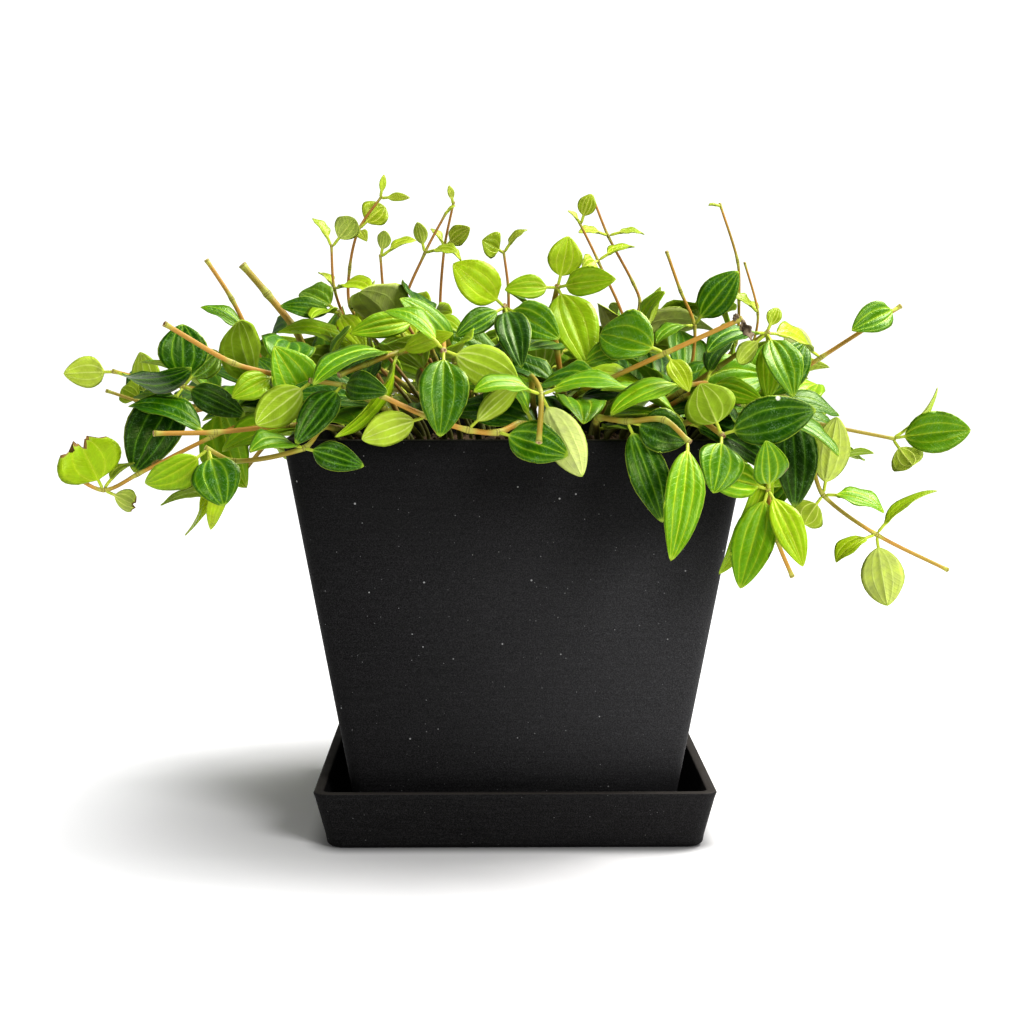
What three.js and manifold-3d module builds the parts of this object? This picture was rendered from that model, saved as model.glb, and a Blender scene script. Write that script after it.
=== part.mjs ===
// A beetle peperomia growing in a square tapered pot that stands on its saucer.
// Millimetres, +Z up, front towards -Y, origin under the middle of the saucer.
import * as THREE from "three";
import { mergeVertices } from "three/addons/utils/BufferGeometryUtils.js";
import Module from "manifold-3d";

const wasm = await Module();
wasm.setup();

// Driving dimensions
const seatGap = 0.3; // between pieces that touch
const saucer = { top: 158, foot: 147, height: 23, wall: 4.2, floor: 4, corner: 5, edge: 2.5 };
const pot = { rim: 177.4, foot: 124.4, height: 157, wall: 4.5, floor: 5, corner: 6.5, edge: 1.2 };
const drain = { radius: 5, spread: 30, sides: 8 };
const soil = { belowRim: 9, mound: 4, clearance: 0.4 };
const stalks = { sides: 3, girth: 1.35, endGirth: 1.1, holeDepth: 9, clearSoil: 3, from: 46 };
const blade = { fineFrom: 30, halfThick: 0.6, stalkHalf: 0.85, rootBack: 1.2, bow: 0.09, cup: 0.22 };
const clearOf = { leaves: 0.5, pot: 0.8, stems: 0.5 };

const potFloorZ = saucer.floor + seatGap;
const rimZ = potFloorZ + pot.height;
const soilEdgeZ = rimZ - soil.belowRim;

const colours = {
  plastic: 0x232225,
  soil: 0x3a2a1e,
  leaf: 0x4f8a2c,
};

// The pot's half width at a height, along X or Y
function potHalfAt(z) {
  return (pot.foot + ((pot.rim - pot.foot) * (z - potFloorZ)) / pot.height) / 2;
}

// The soil's mounded top
function soilTopAt(x, y) {
  const half = potHalfAt(soilEdgeZ) - pot.wall;
  return soilEdgeZ + soil.mound * Math.max(0, (1 - (x / half) ** 2) * (1 - (y / half) ** 2));
}

// Stems read from the front, with the way each one runs after it leaves the soil.
// A leaf is [point of the path, tip from that point x, y, z, turn of its face, width].
const shownStems = [
  {
    foot: [-62, -15],
    path: [[-102, -28, 174], [-131, -48, 180], [-147, -45, 183], [-160, -42, 186]],
    leaves: [
      [2, -18, -14, -33, 8, 23], [2, 0, 0, 25, 8, 20], [2, 26, -14, -11, 8, 12],
      [4, -20, 2, -1, 172, 13], [4, 27, -24, -16, -70, 19], [2, 13, 8, 14, 8, 14],
    ],
  },
  {
    foot: [-64, 8],
    path: [[-106, 5, 169], [-153, -5, 172], [-169, -8, 177]],
    leaves: [
      [2, -3, 5, 21, 172, 13], [2, -11, 5, 6, 8, 11],
    ],
  },
  {
    foot: [-58, -44],
    path: [[-88, -72, 166], [-114, -84, 164], [-136, -92, 164]],
  },
  {
    foot: [-70, -32],
    path: [[-94, -50, 170], [-118, -66, 161], [-146, -70, 147], [-159, -72, 141], [-172, -74, 148]],
    leaves: [
      [4, -9, -6, 22, 8, 26], [4, 14, -6, -6, 172, 9], [4, 11, 8, 10, 62, 10],
      [2, -24, 26, 5, 62, 19],
    ],
  },
  {
    foot: [-62, -66],
    path: [[-73, -92, 166], [-79, -101, 159], [-105, -98, 154], [-116, -97, 159]],
    leaves: [
      [2, 23, -11, -6, 8, 11], [2, -18, -17, 0, 62, 17], [4, 8, -11, -21, 8, 19],
      [4, -23, 1, -14, -35, 16], [4, -11, 5, -40, -70, 12], [3, -11, 10, -27, 8, 7],
    ],
  },
  {
    foot: [-55, 6],
    path: [[-100, 2, 179], [-109, -2, 198], [-117, -4, 215], [-127, -6, 231]],
    leaves: [
      [2, -21, -2, 14, 62, 12],
    ],
  },
  {
    foot: [-46, -6],
    girth: 1.8,
    endGirth: 1.5,
    path: [[-84, -4, 189], [-91, -6, 203], [-102, -6, 217], [-112, -8, 229]],
    leaves: [
      [2, -13, 26, -7, 62, 17],
    ],
  },
  {
    foot: [-50, -30],
    path: [[-84, -52, 180], [-92, -66, 185], [-108, -76, 190], [-132, -88, 205]],
    leaves: [
      [2, 3, 24, 13, 8, 22], [2, -16, -14, -8, 8, 12],
    ],
  },
  {
    foot: [-28, -38],
    path: [[-37, -64, 194], [-45, -82, 194], [-56, -92, 190], [-66, -98, 186]],
    leaves: [
      [2, -22, -30, -30, -70, 13], [2, 25, -6, 6, 8, 8], [2, -30, -26, -11, 62, 19],
    ],
  },
  {
    foot: [-36, -54],
    path: [[-57, -86, 177], [-65, -93, 182], [-77, -97, 184]],
    leaves: [
      [2, -16, -19, -21, 8, 13], [3, -19, -9, -16, 172, 15], [2, 22, -17, -5, 8, 12],
    ],
  },
  {
    foot: [18, -68],
    path: [[1, -98, 168], [-7, -104, 165], [-18, -105, 166], [-33, -106, 171], [-50, -110, 179]],
    leaves: [
      [2, 26, -8, -8, 8, 16], [3, 19, -3, 17, 172, 9], [4, -24, -6, -8, 172, 13],
    ],
  },
  {
    foot: [-14, -46],
    path: [[-27, -74, 200], [-27, -100, 195]],
    leaves: [
      [2, -1, -16, -31, 8, 19], [2, 28, -4, -11, 172, 16], [2, -20, 16, 11, 62, 16],
    ],
  },
  {
    foot: [0, -28],
    path: [[-3, -44, 196], [-4, -60, 212]],
    leaves: [
      [2, -20, -6, 16, 8, 17], [2, 21, -16, -13, 8, 16], [2, -19, -12, -12, 8, 10],
      [2, 7, -24, -27, 8, 14],
    ],
  },
  {
    foot: [22, -28],
    path: [[15, -46, 209], [17, -52, 220]],
    leaves: [
      [2, 4, -2, 19, 8, 14], [2, 22, -14, 2, 8, 12], [2, -21, -6, -2, 8, 10],
      [2, 11, -24, -32, 8, 19],
    ],
  },
  {
    foot: [8, -56],
    path: [[6, -88, 185], [9, -108, 179], [8, -118, 162]],
    leaves: [
      [2, 14, -14, -28, 172, 15], [2, 31, -4, 3, 62, 18], [2, -28, 2, -1, 62, 16],
    ],
  },
  {
    foot: [46, -46],
    path: [[73, -76, 182], [65, -90, 182]],
    leaves: [
      [2, -30, -14, -11, 62, 19], [1, 20, -16, -6, 8, 10], [1, 15, 16, 10, 62, 13],
    ],
  },
  {
    foot: [14, -36],
    path: [[26, -66, 179], [35, -84, 184], [56, -92, 194], [84, -98, 207]],
    leaves: [
      [3, -24, 12, 7, 20, 22], [3, 8, -12, -14, 8, 9],
    ],
  },
  {
    foot: [44, -26],
    path: [[64, -62, 178], [78, -70, 188], [97, -76, 202]],
    leaves: [
      [3, 7, -20, -24, 8, 15], [3, -1, -12, -24, 8, 11], [3, -13, -8, -12, 172, 8],
      [3, 19, 16, -8, 62, 15], [3, 4, 4, 9, 8, 6], [3, -25, -14, -8, 62, 17],
    ],
  },
  {
    foot: [60, -12],
    path: [[73, -16, 186], [74, -20, 204], [68, -22, 218], [62, -24, 234]],
    leaves: [
      [2, 17, -6, 22, 8, 15], [2, -17, -14, -7, 62, 13],
    ],
  },
  {
    foot: [66, 12],
    girth: 1.1,
    endGirth: 0.65,
    path: [[95, 14, 196], [96, 12, 215], [95, 10, 231], [87, 8, 255]],
    leaves: [
      [2, 6, -10, -5, 62, 8], [4, -5, -2, -1, 62, 3],
    ],
  },
  {
    foot: [72, -2],
    girth: 1.1,
    endGirth: 0.65,
    path: [[100, -2, 196], [102, -4, 209], [96, -6, 230]],
    leaves: [
      [2, -11, -4, 7, 62, 8],
    ],
  },
  {
    foot: [56, -62],
    path: [[69, -96, 169], [76, -110, 164]],
    leaves: [
      [2, 33, -8, 10, 8, 18], [2, -8, 6, 19, 172, 20], [2, -5, -14, -20, 8, 18],
    ],
  },
  {
    foot: [32, -66],
    path: [[31, -94, 170], [41, -104, 169], [54, -112, 170], [63, -118, 162]],
    leaves: [
      [2, 22, -4, -7, 8, 17], [2, 13, -8, -37, 8, 15],
      [4, -2, -2, -22, 8, 10], [4, -9, -14, -44, 8, 15],
    ],
  },
  {
    foot: [74, -66],
    path: [[92, -92, 173], [95, -104, 158], [93, -108, 144], [97, -106, 125], [103, -104, 111]],
    leaves: [
      [3, -25, -14, 7, 8, 14], [3, -3, -16, 19, 8, 14], [3, -11, -8, -36, 8, 16],
      [3, 12, -10, -29, 8, 12], [2, -19, 2, -47, -25, 11],
    ],
  },
  {
    foot: [76, -46],
    path: [[106, -66, 176], [114, -76, 152], [119, -74, 139], [141, -68, 123], [171, -60, 108]],
    leaves: [
      [1, 2, -10, -42, 8, 18], [3, 4, -10, 29, 172, 15], [3, 23, -6, -6, 62, 16],
      [3, -8, -4, -11, 172, 15], [4, -17, -6, -10, 62, 12], [4, 3, -10, -27, 172, 17],
      [4, 25, 6, 17, 70, 9],
    ],
  },
  {
    foot: [74, -22],
    path: [[106, -48, 170], [118, -50, 166], [152, -46, 159]],
    leaves: [
      [3, 29, -6, 4, 8, 17], [3, 19, 2, 21, -70, 11], [3, 5, -12, -10, 172, 14],
    ],
  },
  {
    foot: [74, -8],
    path: [[112, -22, 182], [125, -26, 191], [157, -28, 212]],
    leaves: [
      [3, -22, -12, -10, 8, 13], [2, -17, -14, 11, 172, 10],
    ],
  },
  {
    foot: [-36, 4],
    girth: 0.95,
    endGirth: 0.55,
    path: [[-67, -4, 200], [-74, -8, 219], [-75, -10, 237]],
    leaves: [
      [3, 10, -6, 11, 172, 11], [3, -8, 2, 11, 62, 8], [2, 16, -14, -1, 62, 14],
      [2, -7, 8, 7, 62, 7],
    ],
  },
  {
    foot: [-32, 18],
    girth: 0.95,
    endGirth: 0.55,
    path: [[-69, 14, 212], [-69, 12, 228], [-65, 10, 244], [-55, 8, 258]],
    leaves: [
      [4, 1, 0, 9, 8, 3], [4, 12, -4, -1, 8, 4], [3, 11, 4, 10, 8, 13], [3, 4, -10, -5, 8, 5],
    ],
  },
  {
    foot: [-26, -8],
    girth: 0.95,
    endGirth: 0.55,
    path: [[-53, -6, 214], [-55, -8, 233]],
    leaves: [
      [2, 2, -4, 10, 172, 6], [2, 15, 0, 6, 62, 9],
    ],
  },
  {
    foot: [-18, 6],
    girth: 0.95,
    endGirth: 0.55,
    path: [[-46, 2, 210], [-37, 4, 234], [-28, 6, 251]],
    leaves: [
      [2, -3, -2, 13, 172, 6], [2, 14, -8, 0, 62, 9], [1, 12, -16, 4, 62, 11],
      [3, 4, 0, 3, 62, 3],
    ],
  },
  {
    foot: [-10, 22],
    girth: 0.95,
    endGirth: 0.55,
    path: [[-29, 22, 201], [-31, 20, 210], [-29, 18, 237], [-25, 16, 256]],
    leaves: [
      [3, 11, -8, 8, 8, 9], [3, -6, 2, 8, 62, 6], [4, -2, 0, 7, 8, 3], [3, 7, 6, -6, 62, 6],
    ],
  },
  {
    foot: [34, 28],
    girth: 0.95,
    endGirth: 0.55,
    path: [[55, 26, 213], [52, 26, 222], [41, 24, 242], [34, 22, 259]],
    leaves: [
      [3, -13, -6, 1, 62, 8], [3, 16, 2, 1, 62, 8],
    ],
  },
  {
    foot: [28, 14],
    girth: 0.95,
    endGirth: 0.55,
    path: [[48, 12, 203], [36, 10, 231], [28, 8, 247]],
    leaves: [
      [3, 5, 0, 12, 8, 8], [3, -5, 0, 5, 62, 4], [2, -7, -8, -3, 8, 9], [2, 16, 6, 6, 62, 10],
    ],
  },
  {
    foot: [-3, 4],
    girth: 0.95,
    endGirth: 0.55,
    path: [[-2, 0, 219], [-4, 0, 235]],
    leaves: [
      [2, -9, -6, 4, 8, 12], [2, 10, 2, 9, 62, 8],
    ],
  },
  {
    foot: [34, -4],
    path: [[53, -14, 199]],
    leaves: [
      [1, 8, 4, 21, 172, 6], [1, 8, -12, 19, 70, 13],
    ],
  },
  {
    foot: [-44, -18],
    path: [[-72, -18, 210]],
    leaves: [
      [1, -23, -6, 2, 8, 9], [1, -16, 8, 8, 40, 15], [1, 13, -26, -16, 8, 10],
      [1, -13, -14, -7, 62, 13],
    ],
  },
  {
    foot: [-22, -22],
    path: [[-38, -36, 207]],
    leaves: [
      [1, -27, -14, -6, 8, 11], [1, 17, -14, -6, 62, 13], [1, -7, 26, 12, 62, 17],
    ],
  },
];

// Draws for everything placed by rule, the same each time
let seed = 78301;
function draw(low, high) {
  seed = (seed * 16807) % 2147483647;
  return low + ((high - low) * seed) / 2147483647;
}

// Stems of the sides, the back and the middle. Each is [way it leans in degrees, foot's distance
// from the middle, reach past the middle, rise of its end above the rim].
const ruleStems = [
  [20, 52, 150, -16],
  [36, 60, 146, 6],
  [50, 66, 156, -34],
  [63, 50, 138, 16],
  [76, 62, 152, -12],
  [88, 44, 122, 26],
  [97, 66, 156, -40],
  [109, 52, 142, 10],
  [121, 62, 150, -20],
  [134, 56, 146, 14],
  [146, 66, 158, -38],
  [160, 50, 158, 2],
  [70, 22, 76, 38],
  [112, 34, 88, 34],
  [25, 28, 88, 36],
  [155, 30, 90, 30],
  [-78, 24, 86, 26],
  [-8, 40, 126, -20],
  [-170, 44, 140, 4],
];

// Leaves in whorls: [point of the centre line, how many]
const ruleWhorls = [
  [3, 2],
  [4, 3],
  [5, 2],
  [6, 2],
];
const frontWhorls = [
  [2, 1],
  [3, 3],
];
const shootWhorls = [[3, 2]];
const whorlLine = -10; // stems that root in front of this are fuller

// Leaves of a whorl: how unevenly they stand, their angle from the stem, their length and width
const whorlLeaf = {
  uneven: 0.35,
  open: [0.95, 1.35],
  length: [31, 42],
  youngFrom: 6,
  youngShare: 0.78,
  turn: 24,
  widthShare: [0.48, 0.6],
  flatten: 0.6,
  lift: 0.12,
  facesOut: 0.55,
};

// Whorl leaves end under this height, and in front of the pot above its rim
const whorlRoom = { top: 213, besidePot: 84, bottom: 158 };

// How a rule stem arches over the rim: where its top may lie, how high, and its bend from there
const ruleArch = {
  outside: 106,
  fromFoot: 26,
  fromEnd: 30,
  aboveRim: 12,
  riseShare: 0.3,
  sway: 0.16,
  midReach: 0.5,
  midSway: 0.6,
  midRise: 0.45,
};

function ruleStem([lean, near, far, rise]) {
  const shape = ruleArch;
  const angle = THREE.MathUtils.degToRad(lean);
  const sway = draw(-shape.sway, shape.sway);
  const at = (radius, turn, z) => [
    radius * Math.cos(angle + turn),
    radius * Math.sin(angle + turn),
    z,
  ];
  const over = Math.min(far - shape.fromEnd, Math.max(near + shape.fromFoot, shape.outside));
  const arch = rimZ + shape.aboveRim + shape.riseShare * Math.max(0, rise);
  const mid = over + (far - over) * shape.midReach;
  return {
    foot: at(near, 0, 0).slice(0, 2),
    path: [
      at(over, 0, arch),
      at(mid, sway * shape.midSway, arch + (rimZ + rise - arch) * shape.midRise),
      at(far, sway, rimZ + rise),
    ],
    whorls: ruleWhorls,
  };
}

// Geometry helpers

// A closed geometry from vertices and faces
function closedGeometry(vertices, faces) {
  const geometry = new THREE.BufferGeometry();
  const positions = new Float32Array(vertices.flatMap((v) => [v.x, v.y, v.z]));
  geometry.setAttribute("position", new THREE.BufferAttribute(positions, 3));
  geometry.setIndex(faces.flat());
  return geometry;
}

// The solid of a closed geometry
function toSolid(geometry) {
  const plain = geometry.clone();
  plain.deleteAttribute("normal");
  plain.deleteAttribute("uv");
  const merged = mergeVertices(plain, 1e-4);
  return new wasm.Manifold(
    new wasm.Mesh({
      numProp: 3,
      vertProperties: merged.attributes.position.array,
      triVerts: new Uint32Array(merged.index.array),
    }),
  );
}

// The geometry of a solid
function toGeometry(solid) {
  const mesh = solid.getMesh();
  const positions = new Float32Array(mesh.numVert * 3);
  for (let i = 0; i < mesh.numVert; i++) {
    positions.set(mesh.vertProperties.subarray(i * mesh.numProp, i * mesh.numProp + 3), i * 3);
  }
  const geometry = new THREE.BufferGeometry();
  geometry.setAttribute("position", new THREE.BufferAttribute(positions, 3));
  geometry.setIndex(new THREE.BufferAttribute(mesh.triVerts, 1));
  geometry.computeVertexNormals();
  return geometry;
}

function part(name, geometry, colour, roughness) {
  const material = new THREE.MeshStandardMaterial({ color: colour, roughness, metalness: 0 });
  const mesh = new THREE.Mesh(geometry, material);
  mesh.name = name;
  return mesh;
}

// A ring of a square with round corners, four points to each corner
function squareRing(half, corner, z) {
  const ring = [];
  const steps = 3;
  for (let side = 0; side < 4; side++) {
    for (let step = 0; step <= steps; step++) {
      const angle = (side + step / steps) * (Math.PI / 2);
      const centre = half - corner;
      const turn = (side * Math.PI) / 2;
      const cx = centre * (Math.cos(turn) - Math.sin(turn));
      const cy = centre * (Math.sin(turn) + Math.cos(turn));
      ring.push(
        new THREE.Vector3(cx + corner * Math.cos(angle), cy + corner * Math.sin(angle), z),
      );
    }
  }
  return ring;
}

// A closed body through rings of equal count, from the first ring's cap to the last ring's cap
function loft(rings, crown) {
  const count = rings[0].length;
  const vertices = rings.flat();
  const faces = [];
  for (let r = 0; r + 1 < rings.length; r++) {
    for (let i = 0; i < count; i++) {
      const a = r * count + i;
      const b = r * count + ((i + 1) % count);
      faces.push([a, b, b + count], [a, b + count, a + count]);
    }
  }
  const last = (rings.length - 1) * count;
  for (let i = 1; i + 1 < count; i++) faces.push([0, i + 1, i]);
  if (crown) {
    vertices.push(crown);
    for (let i = 0; i < count; i++) {
      faces.push([last + i, last + ((i + 1) % count), vertices.length - 1]);
    }
  } else {
    for (let i = 1; i + 1 < count; i++) faces.push([last, last + i, last + i + 1]);
  }
  return closedGeometry(vertices, faces);
}

// Saucer: outer foot with a small round edge, flared wall, inner floor
function saucerPart() {
  const foot = saucer.foot / 2;
  const top = saucer.top / 2;
  const slope = (top - foot) / saucer.height;
  const { corner, edge, wall } = saucer;
  const rings = [
    squareRing(foot - edge, corner, 0),
    squareRing(foot - edge * 0.3 + slope * edge * 0.3, corner + 0.5, edge * 0.3),
    squareRing(foot + slope * edge, corner + 1, edge),
    squareRing(top, corner + 1.5, saucer.height),
    squareRing(top - wall, corner - 1, saucer.height),
    squareRing(foot + slope * saucer.floor - wall, corner - 1.5, saucer.floor),
  ];
  return part("saucer", loft(rings), colours.plastic, 0.75);
}

// Pot: tapered square wall and floor, with drain holes
function potPart() {
  const slope = (pot.rim - pot.foot) / 2 / pot.height;
  const { corner, edge, wall } = pot;
  const innerFloorZ = potFloorZ + pot.floor;
  const rings = [
    squareRing(pot.foot / 2 - edge, corner - 1, potFloorZ),
    squareRing(pot.foot / 2 + slope * edge, corner - 0.5, potFloorZ + edge),
    squareRing(pot.rim / 2, corner, rimZ),
    squareRing(pot.rim / 2 - wall, corner - 2, rimZ),
    squareRing(potHalfAt(innerFloorZ) - wall, corner - 2.5, innerFloorZ),
  ];
  let solid = toSolid(loft(rings));
  const reach = pot.floor * 3;
  for (const [sx, sy] of [[0, 0], [1, 1], [1, -1], [-1, 1], [-1, -1]]) {
    const hole = new THREE.CylinderGeometry(drain.radius, drain.radius, reach, drain.sides);
    hole.rotateX(Math.PI / 2);
    hole.translate(sx * drain.spread, sy * drain.spread, potFloorZ + pot.floor / 2);
    solid = solid.subtract(toSolid(hole));
  }
  return part("pot", toGeometry(solid), colours.plastic, 0.8);
}

// Soil: fills the pot, with a hole for the foot of each stem
function soilPart(stems) {
  const innerFloorZ = potFloorZ + pot.floor + seatGap;
  const half = (z) => potHalfAt(z) - pot.wall - soil.clearance;
  const inset = (share) => {
    const ring = squareRing(half(soilEdgeZ) * share, pot.corner - 2.6, soilEdgeZ);
    ring.forEach((v) => (v.z = soilTopAt(v.x, v.y)));
    return ring;
  };
  const rings = [
    squareRing(half(innerFloorZ), pot.corner - 2.9, innerFloorZ),
    squareRing(half(soilEdgeZ), pot.corner - 2.6, soilEdgeZ),
    inset(0.55),
  ];
  let solid = toSolid(loft(rings, new THREE.Vector3(0, 0, soilTopAt(0, 0))));
  for (const stem of stems) {
    const radius = stem.girth + seatGap / Math.cos(Math.PI / stalks.sides);
    const hole = new THREE.CylinderGeometry(radius, radius, stalks.holeDepth * 2, stalks.sides);
    hole.rotateX(Math.PI / 2);
    hole.rotateZ(Math.PI / 2);
    hole.translate(stem.foot[0], stem.foot[1], soilTopAt(...stem.foot));
    solid = solid.subtract(toSolid(hole));
  }
  return part("soil", toGeometry(solid), colours.soil, 1);
}

// Centre points of a stem: its foot in the soil, an arch in three steps, then its path
function centreLine(foot, path) {
  const v = (p) => new THREE.Vector3(...p);
  const ground = soilTopAt(...foot);
  const below = v([foot[0], foot[1], ground - stalks.from]);
  const start = v([foot[0], foot[1], ground + stalks.clearSoil]);
  const first = v(path[0]);
  const next = path.length > 1 ? v(path[1]) : first.clone().multiplyScalar(2).sub(start);
  const points = [v([foot[0], foot[1], ground - stalks.holeDepth + seatGap]), start];
  for (const s of [1 / 3, 2 / 3]) {
    const point = start.clone().multiplyScalar(2);
    point.addScaledVector(first.clone().sub(below), s);
    const square = below.clone().multiplyScalar(2).addScaledVector(start, -5);
    point.addScaledVector(square.addScaledVector(first, 4).sub(next), s * s);
    const cube = start.clone().multiplyScalar(3).addScaledVector(first, -3);
    point.addScaledVector(cube.sub(below).add(next), s * s * s);
    points.push(point.multiplyScalar(0.5));
  }
  return points.concat(path.map(v));
}

// A tube along centre points, thinner to its end
function stemGeometry(points, girth, endGirth) {
  const { sides } = stalks;
  const side = new THREE.Vector3(1, 0, 0);
  const rings = points.map((point, i) => {
    const before = points[Math.max(0, i - 1)];
    const after = points[Math.min(points.length - 1, i + 1)];
    const along = after.clone().sub(before).normalize();
    side.addScaledVector(along, -side.dot(along)).normalize();
    const other = along.clone().cross(side);
    const radius = girth + ((endGirth - girth) * i) / (points.length - 1);
    return Array.from({ length: sides }, (_, k) => {
      const angle = (k * 2 * Math.PI) / sides;
      const corner = point.clone().addScaledVector(side, radius * Math.cos(angle));
      return corner.addScaledVector(other, radius * Math.sin(angle));
    });
  });
  return loft(rings);
}

// The way a leaf's upper face looks: towards a side, squared to the leaf and turned about it
function leafFace(along, toward, turn) {
  const face = toward.clone().addScaledVector(along, -toward.dot(along)).normalize();
  const side = along.clone().cross(face);
  if (side.z + 0.3 * side.x < 0) side.negate();
  const angle = THREE.MathUtils.degToRad(turn);
  return face.multiplyScalar(Math.cos(angle)).addScaledVector(side, Math.sin(angle));
}

// Half width of a blade, as a share of its greatest, from its base 0 to its tip 1
function bladeShape(b) {
  return Math.sin(Math.PI * Math.pow(b, 0.86)) ** 0.72;
}

// A leaf from the middle of its stem to its tip: stalk, then a bowed and cupped blade
function leafGeometry({ base, tip, face, width }) {
  const reach = tip.clone().sub(base);
  const length = reach.length();
  const side = reach.clone().cross(face).normalize();
  const stalk = Math.min(0.3, 5 / length);
  const stations = length > blade.fineFrom ? [0.2, 0.5, 0.8] : [0.3, 0.7];
  const vertices = [];
  const faces = [];
  const section = (t, half, thick, cup) => {
    const point = base.clone().addScaledVector(reach, t);
    point.addScaledVector(face, blade.bow * length * 4 * t * (1 - t));
    const along = reach.clone().addScaledVector(face, blade.bow * length * 4 * (1 - 2 * t));
    const up = side.clone().cross(along).normalize();
    const lift = up.clone().multiplyScalar(cup * half);
    vertices.push(
      point.clone().addScaledVector(side, -half).add(lift),
      point.clone().addScaledVector(up, thick),
      point.clone().addScaledVector(side, half).add(lift),
      point.clone().addScaledVector(up, -thick),
    );
  };
  vertices.push(base.clone());
  section(stalk, blade.stalkHalf, blade.stalkHalf, 0);
  for (const b of stations) {
    section(stalk + (1 - stalk) * b, (width / 2) * bladeShape(b), blade.halfThick, blade.cup);
  }
  vertices.push(tip.clone());
  for (let k = 0; k < 4; k++) faces.push([0, 1 + ((k + 1) % 4), 1 + k]);
  // Both faces are split from rim to rib, alike above and below
  for (let r = 0; r < stations.length; r++) {
    const [l, t, g, u] = [1, 2, 3, 4].map((k) => r * 4 + k);
    faces.push([l, t, t + 4], [l, t + 4, l + 4], [t, g, t + 4], [g, g + 4, t + 4]);
    faces.push([g, u, u + 4], [g, u + 4, g + 4], [u, l, u + 4], [l, l + 4, u + 4]);
  }
  const last = stations.length * 4 + 1;
  const end = vertices.length - 1;
  for (let k = 0; k < 4; k++) faces.push([last + k, last + ((k + 1) % 4), end]);
  return closedGeometry(vertices, faces);
}

// Keeping clear

// Triangles of a geometry with their boxes, and the points that stand for them
function outline(geometry) {
  const at = geometry.attributes.position;
  const index = geometry.index.array;
  const corner = (i) => new THREE.Vector3().fromBufferAttribute(at, index[i]);
  const triangles = [];
  const box = new THREE.Box3();
  for (let i = 0; i < index.length; i += 3) {
    const triangle = new THREE.Triangle(corner(i), corner(i + 1), corner(i + 2));
    const own = new THREE.Box3().setFromPoints([triangle.a, triangle.b, triangle.c]);
    const mid = (p, q) => p.clone().add(q).multiplyScalar(0.5);
    const points = [triangle.a, triangle.b, triangle.c, mid(triangle.a, triangle.b)];
    points.push(mid(triangle.b, triangle.c), mid(triangle.c, triangle.a));
    triangles.push({ triangle, box: own, points });
    box.union(own);
  }
  return { triangles, box };
}

const ray = new THREE.Ray();
const spot = new THREE.Vector3();

// Whether an edge goes through a triangle
function crosses(from, to, triangle) {
  ray.origin.copy(from);
  ray.direction.copy(to).sub(from);
  const length = ray.direction.length();
  ray.direction.divideScalar(length);
  const hit = ray.intersectTriangle(triangle.a, triangle.b, triangle.c, false, spot);
  return hit !== null && hit.distanceTo(from) <= length;
}

// Whether two single triangles come nearer than a gap
function touches(one, two, gap) {
  if (!one.box.clone().expandByScalar(gap).intersectsBox(two.box)) return false;
  for (const [p, q] of [[one, two], [two, one]]) {
    for (const point of p.points) {
      q.triangle.closestPointToPoint(point, spot);
      if (spot.distanceToSquared(point) < gap * gap) return true;
    }
    const { a, b, c } = p.triangle;
    if (crosses(a, b, q.triangle) || crosses(b, c, q.triangle)) return true;
    if (crosses(c, a, q.triangle)) return true;
  }
  return false;
}

// Whether a shape comes nearer than a gap to one of those already placed
function meets(shape, others, gap) {
  const room = shape.box.clone().expandByScalar(gap);
  for (const other of others) {
    if (!room.intersectsBox(other.box)) continue;
    const near = other.triangles.filter((t) => room.intersectsBox(t.box));
    for (const mine of shape.triangles) {
      if (near.some((theirs) => touches(mine, theirs, gap))) return true;
    }
  }
  return false;
}

// Whether a leaf comes too near the pot
function leafMeetsPot(shape) {
  return shape.triangles.some(({ points }) =>
    points.some((p) => {
      const away = Math.max(Math.abs(p.x), Math.abs(p.y)) - potHalfAt(p.z);
      return p.z < rimZ + clearOf.pot && away < clearOf.pot;
    }),
  );
}

// Whether a stem comes too near the pot's wall, looked at along its centre line
function stemMeetsPot(points, girth) {
  const room = girth + clearOf.pot;
  const steps = 16;
  for (let i = 1; i < points.length; i++) {
    for (let step = 0; step <= steps; step++) {
      const p = points[i - 1].clone().lerp(points[i], step / steps);
      const away = Math.max(Math.abs(p.x), Math.abs(p.y)) - potHalfAt(p.z);
      if (p.z < rimZ + room && away < room && away > -pot.wall - room) return true;
    }
  }
  return false;
}

// Small moves that are tried in turn until a stem is clear, in millimetres
const stemMoves = [
  [0, 0, 0],
  [0, 0, 3],
  [0, -4, 1],
  [0, 4, 1],
  [3, 0, 2],
  [-3, 0, 2],
  [0, -5, 5],
  [0, 5, 5],
  [0, 9, 2],
  [0, -8, 6],
  [5, 4, 5],
  [-5, 4, 5],
  [0, 0, 8],
  [6, 8, 8],
  [-6, 8, 8],
  [0, 12, 10],
];

// Small moves of a leaf's tip, in shares of its length, mostly towards or away from the front
const leafMoves = [
  [0, 0, 0],
  [0, -0.2, 0],
  [0, 0.2, 0],
  [0, -0.35, 0.1],
  [0, 0.35, 0.1],
  [0.1, 0, 0.2],
  [-0.1, -0.2, 0.25],
  [0.1, 0.2, 0.25],
  [0, -0.6, 0.1],
  [0, 0.6, 0.1],
  [-0.2, -0.2, -0.25],
  [0.2, 0.1, 0.45],
  [-0.3, 0.1, 0.4],
  [0.3, -0.4, 0.5],
  [-0.4, -0.4, 0.3],
];

const toFront = new THREE.Vector3(0, -1, 0.08);

// The leaves that are listed for a stem
function listedLeaves({ leaves = [] }) {
  return leaves.map(([at, x, y, z, turn, width]) => {
    return { at: at + 3, reach: new THREE.Vector3(x, y, z), toward: toFront, turn, width };
  });
}

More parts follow.
